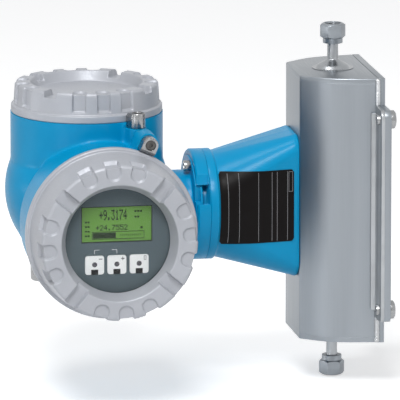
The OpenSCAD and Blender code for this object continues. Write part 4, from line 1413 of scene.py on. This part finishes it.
@dataclass
class SensorCasing:
    """Folded and welded steel housing with its plates, angles, fittings and nuts.

    Lengths are in mm, with X and Z of the meter's frame.
    """

    body: str = "sensor"
    back_x: float = -10.1
    nose_x: float = -68.1
    half_back: float = 53.5
    half_bend: float = 48.0
    half_nose: float = 29.5
    bend_d: float = 36.0
    bend_r: float = 46.0
    nose_r: float = 3.2
    sheet: float = 3.0
    sheet_z: float = 101.0
    end_z: float = 105.0
    flow_x: float = -36.3
    spigot_r: float = 8.1
    wire_r: float = 12.0
    flare_top: tuple[float, float] = (4.3, 7.0)
    flare_foot: tuple[float, float] = (16.4, 0.6)
    flare_fill: float = 0.85
    nut_bore: float = 6.5
    nut_thread: float = 4.4
    nut_mouth: float = 135.5
    weld_z: tuple[float, float] = (80.0, 103.0)

    def outline(self, inward: float) -> np.ndarray:
        """Returns the plan of the housing.

        Args:
            inward: distance in mm by which it is moved inward.

        Returns:
            Its corners in mm.
        """
        bend_x = self.back_x - self.bend_d
        nose, bend = self.half_nose - 0.72 * inward, self.half_bend - inward
        half: Profile = [(self.nose_x + inward, nose, max(0.3, self.nose_r - inward)),
                         (bend_x + 0.4 * inward, bend, self.bend_r - inward),
                         (self.back_x, self.half_back - inward, 0.0)]
        return filleted([*half, *((x, -y, r) for x, y, r in reversed(half))], True, 60.0)

    def at_end(self, side: int, height: float = 0.0) -> Placing:
        """Returns a placing whose Z runs out along the flow at one end, from a height in mm."""
        return lambda p: as_is(p * (1, side, side) + (self.flow_x, 0, side * height))

    def shell(self) -> Piece:
        """Folds the sheet and cuts the hole for the wires.

        Returns:
            The casing, open at its back and ends.
        """
        end, back = self.end_z, self.back_x
        piece = fused(
            prism("casing", self.outline(0.0), -self.sheet_z, self.sheet_z),
            prism("cut", self.outline(self.sheet), -end, end),
            prism("cut", box_outline(back - 0.5, back + 9, -51, 51), -end, end),
            turned("cut", disc(self.wire_r, self.nose_x - 4, self.nose_x + 8), along_x, 64))
        return dress(smooth(piece, 30.0), self.body, "stainless", stands_for=("sensor_shell",))

    def end_plate(self, side: int) -> Piece:
        """Returns one end plate with ground edges.

        Args:
            side: 1 for the top and -1 for the bottom.

        Returns:
            The plate.
        """
        low, high = sorted((side * (self.sheet_z - 8), side * self.end_z))
        plate = rounded_edges(prism("plate_end", self.outline(0.0), low, high), 0.9, 3)
        low, high = sorted((side * (self.sheet_z - 20), side * self.sheet_z))
        return fused(plate, prism("cut", box_outline(-90, 20, -80, 80), low, high),
                     turned("cut", disc(self.spigot_r, self.sheet_z - 2, self.end_z + 2),
                            self.at_end(side), 64))

    def ends(self) -> Piece:
        """Returns the two end plates."""
        piece = smooth(joined("end_castings", [self.end_plate(-1), self.end_plate(1)]), 30.0)
        return dress(piece, self.body, "stainless", "stainless_cross", ("end_plates",))

    def fill_flares(self, piece: Piece) -> None:
        """Fills the hollow flares under the tube stubs most of the way to a straight cone.

        Args:
            piece: the fittings.
        """
        (near, top), (far, foot) = self.flare_top, self.flare_foot
        points = np.array([v.co[:] for v in piece.data.vertices]) / MM
        radius = np.hypot(points[:, 0] - self.flow_x, points[:, 1])
        height = np.abs(points[:, 2]) - self.end_z
        hollow = (radius > near + 0.05) & (radius < far - 0.05)
        hollow &= (height > foot + 0.02) & (height < top)
        chord = top + (foot - top) * (radius - near) / (far - near)
        rise = self.flare_fill * (chord - height) * np.sign(points[:, 2])
        points[hollow, 2] += rise[hollow]
        piece.data.vertices.foreach_set("co", as_is(points).ravel())
        piece.data.update()

    def edged(self) -> list[Piece]:
        """Breaks the edges of the plates, angles, screws, fittings and nuts.

        Returns:
            The finished pieces.
        """
        slots = {s["node"]: s["material_slot"] for s in frame["record"]["subparts"]}
        pieces = []
        for node, name, body, look, width, segments in EDGED:
            piece = node_copy(node, name)
            if node == "process_fittings":
                self.fill_flares(piece)
            rounded_edges(piece, width, segments)
            pieces.append(dress(piece, body, slots[node], look, (node,)))
        return pieces

    def welds(self) -> Piece:
        """Lays the beads between the casing and the back plate.

        Returns:
            The beads as one piece.
        """
        x, y = self.back_x - 0.6, self.half_back - 0.7
        paths = [[(x, s * y, a * z) for z in self.weld_z] for s, a in product((-1, 1), repeat=2)]
        return weld("corner_welds", self.body, paths, pitch=1.2, radius=2.3)

    def build(self) -> list[Piece]:
        """Makes the sensor's outside.

        Returns:
            The finished pieces.
        """
        return [self.shell(), self.ends(), *self.edged(), self.welds(),
                *(thread(f"{body}_thread", body, "turned_steel", radius=self.nut_bore,
                         length=self.nut_thread, pitch=1.1,
                         place=self.at_end(side, self.nut_mouth), bar=0.4)
                  for side, body in ((1, "top_nut"), (-1, "bottom_nut")))]


# ---- Display ----


# Seven rows of five dots for each sign, a row's bits from left to right
DIGITS: dict[str, tuple[int, ...]] = {
    "0": (14, 17, 19, 21, 25, 17, 14),
    "1": (4, 12, 4, 4, 4, 4, 14),
    "2": (14, 17, 1, 2, 4, 8, 31),
    "3": (31, 2, 4, 2, 1, 17, 14),
    "4": (2, 6, 10, 18, 31, 2, 2),
    "5": (31, 16, 30, 1, 1, 17, 14),
    "7": (31, 1, 2, 4, 8, 8, 8),
    "9": (14, 17, 17, 15, 1, 2, 12),
    "+": (0, 4, 4, 31, 4, 4, 0),
    ".": (0, 0, 0, 0, 0, 12, 12),
    "b": (0, 0, 30, 30, 30, 30, 0),
}


@dataclass
class ReadOut:
    """Dot-matrix numbers, level bar and key marks behind the window.

    Lengths are in mm from the display cover's seat.
    """

    body: str = "display_unit"
    field_z: float = 12.0
    field_top: float = 27.3
    field_w: float = 55.2
    field_h: float = 28.2
    panel_top: float = 28.5
    key_top: float = 28.7
    pitch: float = 17.3
    key_z: float = -19.5
    window_w: float = 5.5
    window_z: tuple[float, float] = (-7.4, -3.4)
    spot_r: float = 2.0
    spot_z: float = 0.4
    sign_x: float = 4.6
    sign_z: float = 4.7
    arm_l: float = 1.4
    arm_w: float = 0.28
    line: float = 0.34
    dot: float = 0.52
    dot_wide: float = 1.35
    dot_high: float = 1.12

    def place(self, p: np.ndarray) -> np.ndarray:
        """Places points of the cover's seat frame, whose Z runs toward the viewer."""
        return as_is(np.stack([p[:, 0], -p[:, 2], p[:, 1]], -1)) \
            + np.array(joint_place("display_cover_turn"))

    def row(self, name: str, text: str, left: float, top: float, wide: float,
            high: float) -> Piece:
        """Lights the dots of a row of signs.

        Args:
            name: the piece's name.
            text: the signs.
            left: left edge in mm from the field's centre.
            top: upper edge in mm from the field's centre.
            wide: distance between dots across, in mm.
            high: distance between dots up, in mm.

        Returns:
            The dots.
        """
        lit = [(left + (6 * c + column + 0.5) * wide, self.field_z + top - (r + 0.5) * high,
                self.field_top)
               for c, sign in enumerate(text) for r, bits in enumerate(DIGITS[sign])
               for column in range(5) if bits & (16 >> column)]
        recipe = Recipe(name, {"Width": wide * self.dot_wide * MM,
                               "Height": high * self.dot_high * MM, "Depth": 0.1 * MM})
        cell = recipe.add("GeometryNodeMeshCube")
        size = recipe.add("ShaderNodeCombineXYZ")
        lay = recipe.add("GeometryNodeInstanceOnPoints")
        start = recipe.start
        recipe.wire((start, "Width", size, "X"), (start, "Depth", size, "Y"),
                    (start, "Height", size, "Z"), (size, "Vector", cell, "Size"),
                    (start, "Geometry", lay, "Points"), (cell, "Mesh", lay, "Instance"))
        return recipe.grow(name, lay, "display_ink", self.place(np.array(lit)))

    def numbers(self) -> Piece:
        """Lights the two rows of numbers and the block marks beside them.

        Returns:
            The dots as one piece.
        """
        # Signs, their left and top in mm from the field's centre, and dots' pitch across and up
        rows = [("+9.3174", -13.3, 11.1, self.dot, 1.14), ("+24.7552", -16.0, -0.6, self.dot, 0.60),
                ("bbb", 14.0, 11.0, 0.36, 0.36), ("bb", 14.0, 6.6, 0.36, 0.36),
                ("b", 18.6, -1.6, 0.42, 0.42),
                *(("bb", -24.4, 3.4 - 3.6 * k, 0.34, 0.36) for k in range(4))]
        whole = joined("numbers", [self.row("numbers", *row) for row in rows])
        return dress(whole, self.body, "display_green", "display_ink")

    def tiles(self, name: str, boxes: Sequence[Box], low: float, high: float, slot: str,
              look: str) -> Piece:
        """Lays flat printed boxes, each left, right, bottom and top in mm, side by side."""
        made = [prism(name, box_outline(*box), low, high, self.place) for box in boxes]
        return dress(rounded_edges(joined(name, made), 0.02, 1), self.body, slot, look)

    def frame_boxes(self, box: Box, line: float) -> list[Box]:
        """Returns the four boxes that draw a rectangle.

        Args:
            box: left, right, bottom and top of the rectangle in mm.
            line: width of its line in mm.

        Returns:
            The boxes.
        """
        left, right, low, high = box
        return [(left, right, high - line, high), (left, right, low, low + line),
                (left, left + line, low + line, high - line),
                (right - line, right, low + line, high - line)]

    def bar(self) -> Piece:
        """Draws the level bar under the numbers, filled to its middle.

        Returns:
            The bar.
        """
        z = self.field_z
        boxes = self.frame_boxes((-19.2, 21.6, z - 11.8, z - 5.7), 0.5)
        boxes += [(-18.4, -0.5, z - 11.0, z - 6.5)]
        boxes += [(x, x + 0.5, z - 9.6, z - 7.9) for x in np.arange(3.0, 20.0, 1.55)]
        return self.tiles("level_bar", boxes, self.field_top - 0.02, self.field_top + 0.05,
                          "display_green", "display_ink")

    def border(self) -> Piece:
        """Draws the dark line round the display field.

        Returns:
            The line.
        """
        z, w, h = self.field_z, self.field_w / 2, self.field_h / 2
        return self.tiles("field_border", self.frame_boxes((-w, w, z - h, z + h), 0.6),
                          self.field_top - 0.3, self.panel_top + 0.06, "dark_plastic",
                          "panel_frame")

    def signs(self) -> list[Box]:
        """Draws the minus, the plus and the enter sign of the keys.

        Returns:
            Left, right, bottom and top of each box in mm.
        """
        z, arm, half = self.key_z + self.sign_z, self.arm_l, self.arm_w
        minus, plus, enter = (k * self.pitch + self.sign_x for k in (-1, 0, 1))
        return [(minus - arm, minus + arm, z - half, z + half),
                (plus - arm, plus + arm, z - half, z + half),
                (plus - half, plus + half, z + half, z + arm),
                (plus - half, plus + half, z - arm, z - half),
                *self.frame_boxes((enter - 0.9, enter + 0.9, z - 1.6, z + 1.6), 0.35)]

    def bracket(self) -> Piece:
        """Prints the bracket over the first two keys.

        Returns:
            The bracket.
        """
        x, half, low, high = self.pitch, self.line / 2, self.key_z + 8.7, self.key_z + 11.9
        boxes = [(-x - half, -x + half, low, high), (-half, half, low, high),
                 (-x + half, -x + 4.0, high - 0.3, high), (-4.0, -half, high - 0.3, high)]
        return self.tiles("key_bracket", boxes, self.panel_top - 0.02, self.panel_top + 0.04,
                          "key_white", "key_print")

    def spots(self, low: float, high: float) -> Piece:
        """Returns the round sensor spot of each key.

        Args:
            low: height of their undersides in mm.
            high: height of their faces in mm.

        Returns:
            The spots as one piece.
        """
        r = self.spot_r
        spot = filleted([(0, low, 0), (r, low, 0), (r, high, 0.05), (0, high, 0)], False, 2.0)
        z = self.key_z + self.spot_z
        made = [turned("spot", spot, shifted(self.place, k * self.pitch, z, 0), 40)
                for k in (-1, 0, 1)]
        return dress(smooth(joined("key_spots", made)), self.body, "dark_plastic", "key_lens")

    def keys(self) -> list[Piece]:
        """Makes the dark window, sign and sensor spot of each key, and the bracket.

        Returns:
            The finished pieces.
        """
        low, high, half = self.key_top - 0.05, self.key_top + 0.05, self.window_w / 2
        windows = [(x - half, x + half, *(self.key_z + z for z in self.window_z))
                   for x in (-self.pitch, 0.0, self.pitch)]
        return [self.tiles("key_windows", windows, low, high, "dark_plastic", "key_ink"),
                self.tiles("key_signs", self.signs(), low, high, "dark_plastic", "key_ink"),
                self.spots(low, high), self.bracket()]

    def build(self) -> list[Piece]:
        """Returns every mark on the display unit."""
        return [self.numbers(), self.bar(), self.border(), *self.keys()]


# ---- Studio ----


# Each lamp's place from the point that it faces and its side in metres, and its watts
LAMPS: dict[str, tuple[Point, float, float]] = {
    "key_lamp": ((-0.45, -1.5, 1.7), 0.8, 38.0),
    "side_lamp": ((1.6, -1.4, 0.6), 0.8, 3.0),
    "top_lamp": ((-0.6, -0.25, 2.0), 0.6, 11.0),
    "left_lamp": ((-2.0, 0.35, -0.35), 0.7, 13.0),
    "front_lamp": ((-1.5, -1.25, -0.3), 0.5, 7.0),
}


@dataclass
class Studio:
    """Pale floor, soft lamps and a long lens.

    Lengths are in metres and angles in degrees.
    """

    centre: Point = (-146.6 * MM, -27.4 * MM, 8.4 * MM)
    azimuth: float = -10.0
    elevation: float = 11.5
    width: float = 312.0 * MM
    distance: float = 6.0
    sensor: float = 36.0
    floor_z: float = -141.5 * MM
    floor_half: float = 4.0
    floor_glow: float = 0.55
    sky: Colour = (0.95, 0.97, 1.0)
    sky_light: float = 0.24

    def aimed(self, name: str, data: bpy.types.ID, away: Vector, distance: float = 1.0) -> Piece:
        """Puts a lamp or camera at a distance from the meter's middle and points it there.

        Args:
            name: its name.
            data: the lamp or camera.
            away: the direction in which it stands, seen from the middle.
            distance: how many lengths of that arrow it stands away.

        Returns:
            The object.
        """
        piece = placed(name, data)
        piece.location = Vector(self.centre) + away * distance
        piece.rotation_euler = away.to_track_quat("Z", "Y").to_euler()
        return piece

    def camera(self) -> None:
        """Places the camera and makes it the scene's own."""
        data = bpy.data.cameras.new("camera")
        data.sensor_width = self.sensor
        data.lens = self.sensor * self.distance / self.width
        data.clip_end = 50.0
        a, e = math.radians(self.azimuth), math.radians(self.elevation)
        back = Vector((math.sin(a) * math.cos(e), -math.cos(a) * math.cos(e), math.sin(e)))
        bpy.context.scene.camera = self.aimed("camera", data, back, self.distance)

    def lamp(self, name: str) -> None:
        """Hangs a soft square lamp that points at the meter.

        Args:
            name: the lamp's name.
        """
        place, size, watts = LAMPS[name]
        data = bpy.data.lights.new(name, "AREA")
        data.size = size
        data.energy = watts
        self.aimed(name, data, Vector(place))

    def seen_rays(self, nodes: Nodes) -> Node:
        """Adds the test for rays that show the paper as it looks to the eye.

        Args:
            nodes: the tree that takes the nodes.

        Returns:
            A node that gives 1 for camera, glossy and transmission rays.
        """
        path = nodes.add("ShaderNodeLightPath")
        last, out = path, "Is Camera Ray"
        for kind in ("Is Glossy Ray", "Is Transmission Ray"):
            more = nodes.add("ShaderNodeMath", operation="MAXIMUM")
            nodes.link(last, out, more, 0)
            nodes.link(path, kind, more, 1)
            last, out = more, 0
        return last

    def paper(self) -> bpy.types.Material:
        """Makes white paper that takes a soft shadow.

        Returns:
            A new material.
        """
        shader = Shader("floor_paper", {
            "Base Color": (0.86, 0.86, 0.86, 1.0), "Roughness": 0.9, "Specular IOR Level": 0.1,
            "Emission Color": (1.0, 1.0, 1.0, 1.0)})
        glow = shader.add("ShaderNodeMath", {1: self.floor_glow}, operation="MULTIPLY")
        shader.link(self.seen_rays(shader), 0, glow, 0)
        shader.link(glow, 0, shader.surface, "Emission Strength")
        return shader.material

    def floor(self) -> None:
        """Lays the floor under the meter."""
        s, z = self.floor_half, self.floor_z
        piece = mesh_object("floor", [(-s, -s, z), (s, -s, z), (s, s, z), (-s, s, z)],
                            [(0, 1, 2, 3)])
        piece.data.materials.append(self.paper())

    def world(self) -> None:
        """Surrounds the meter with plain light, seen as white paper."""
        world = bpy.data.worlds.new("studio")
        bpy.context.scene.world = world
        world.use_nodes = True
        nodes = Nodes(world.node_tree)
        nodes.tree.nodes.clear()
        mix = nodes.add("ShaderNodeMixShader")
        nodes.link(self.seen_rays(nodes), 0, mix, 0)
        for slot, colour, light in ((1, self.sky, self.sky_light), (2, (1.0, 1.0, 1.0), 1.0)):
            sky = nodes.add("ShaderNodeBackground", {"Color": (*colour, 1.0), "Strength": light})
            nodes.link(sky, 0, mix, slot)
        nodes.link(mix, 0, nodes.add("ShaderNodeOutputWorld"), "Surface")

    def build(self) -> None:
        """Sets up the whole studio."""
        self.camera()
        self.floor()
        self.world()
        for name in LAMPS:
            self.lamp(name)
        bpy.context.scene.view_settings.view_transform = "Standard"


# ---- Everything together ----


def dress_cad() -> None:
    """Gives every CAD node that still shows the finish of its slot."""
    for part in frame["record"]["subparts"]:
        piece = frame["nodes"][part["node"]]
        if piece.hide_render:
            continue
        look = finish(part["material_slot"])
        if not piece.material_slots:
            piece.data.materials.append(look)
        for material_slot in piece.material_slots:
            material_slot.material = look


def main() -> None:
    """Builds the studio and every sub-assembly in order."""
    logging.basicConfig(level=logging.INFO, format="%(name)s: %(message)s")
    Studio().build()
    assemblies: list[SensorCasing | NeckCone | HeadCasting | ScrewedCover | ReadOut] = [
        SensorCasing(),
        NeckCone(),
        HeadCasting(),
        ScrewedCover("lid_casting", "connection_cover", "connection_lid",
                     "connection_cover_turn", faces_viewer=False, flange_r=59.0, base_r=57.0,
                     top_r=55.8, height=23.5, spigot_r=52.8, face_r=44.0, lip_r=40.0, lip_z=15.5),
        ScrewedCover("window_casting", "display_cover", "display_lid",
                     "display_cover_turn", faces_viewer=True, flange_r=67.0, base_r=64.0,
                     top_r=60.5, height=45.0, spigot_r=56.3, face_r=45.3, lip_r=40.7, lip_z=34.0,
                     grip_w=11.2),
        ReadOut(),
    ]
    for assembly in assemblies:
        for piece in assembly.build():
            log.info("%s: %d faces", piece.name, len(piece.data.polygons))
    dress_cad()
    log.info("finishes on the CAD nodes")


if __name__ == "__main__":
    main()
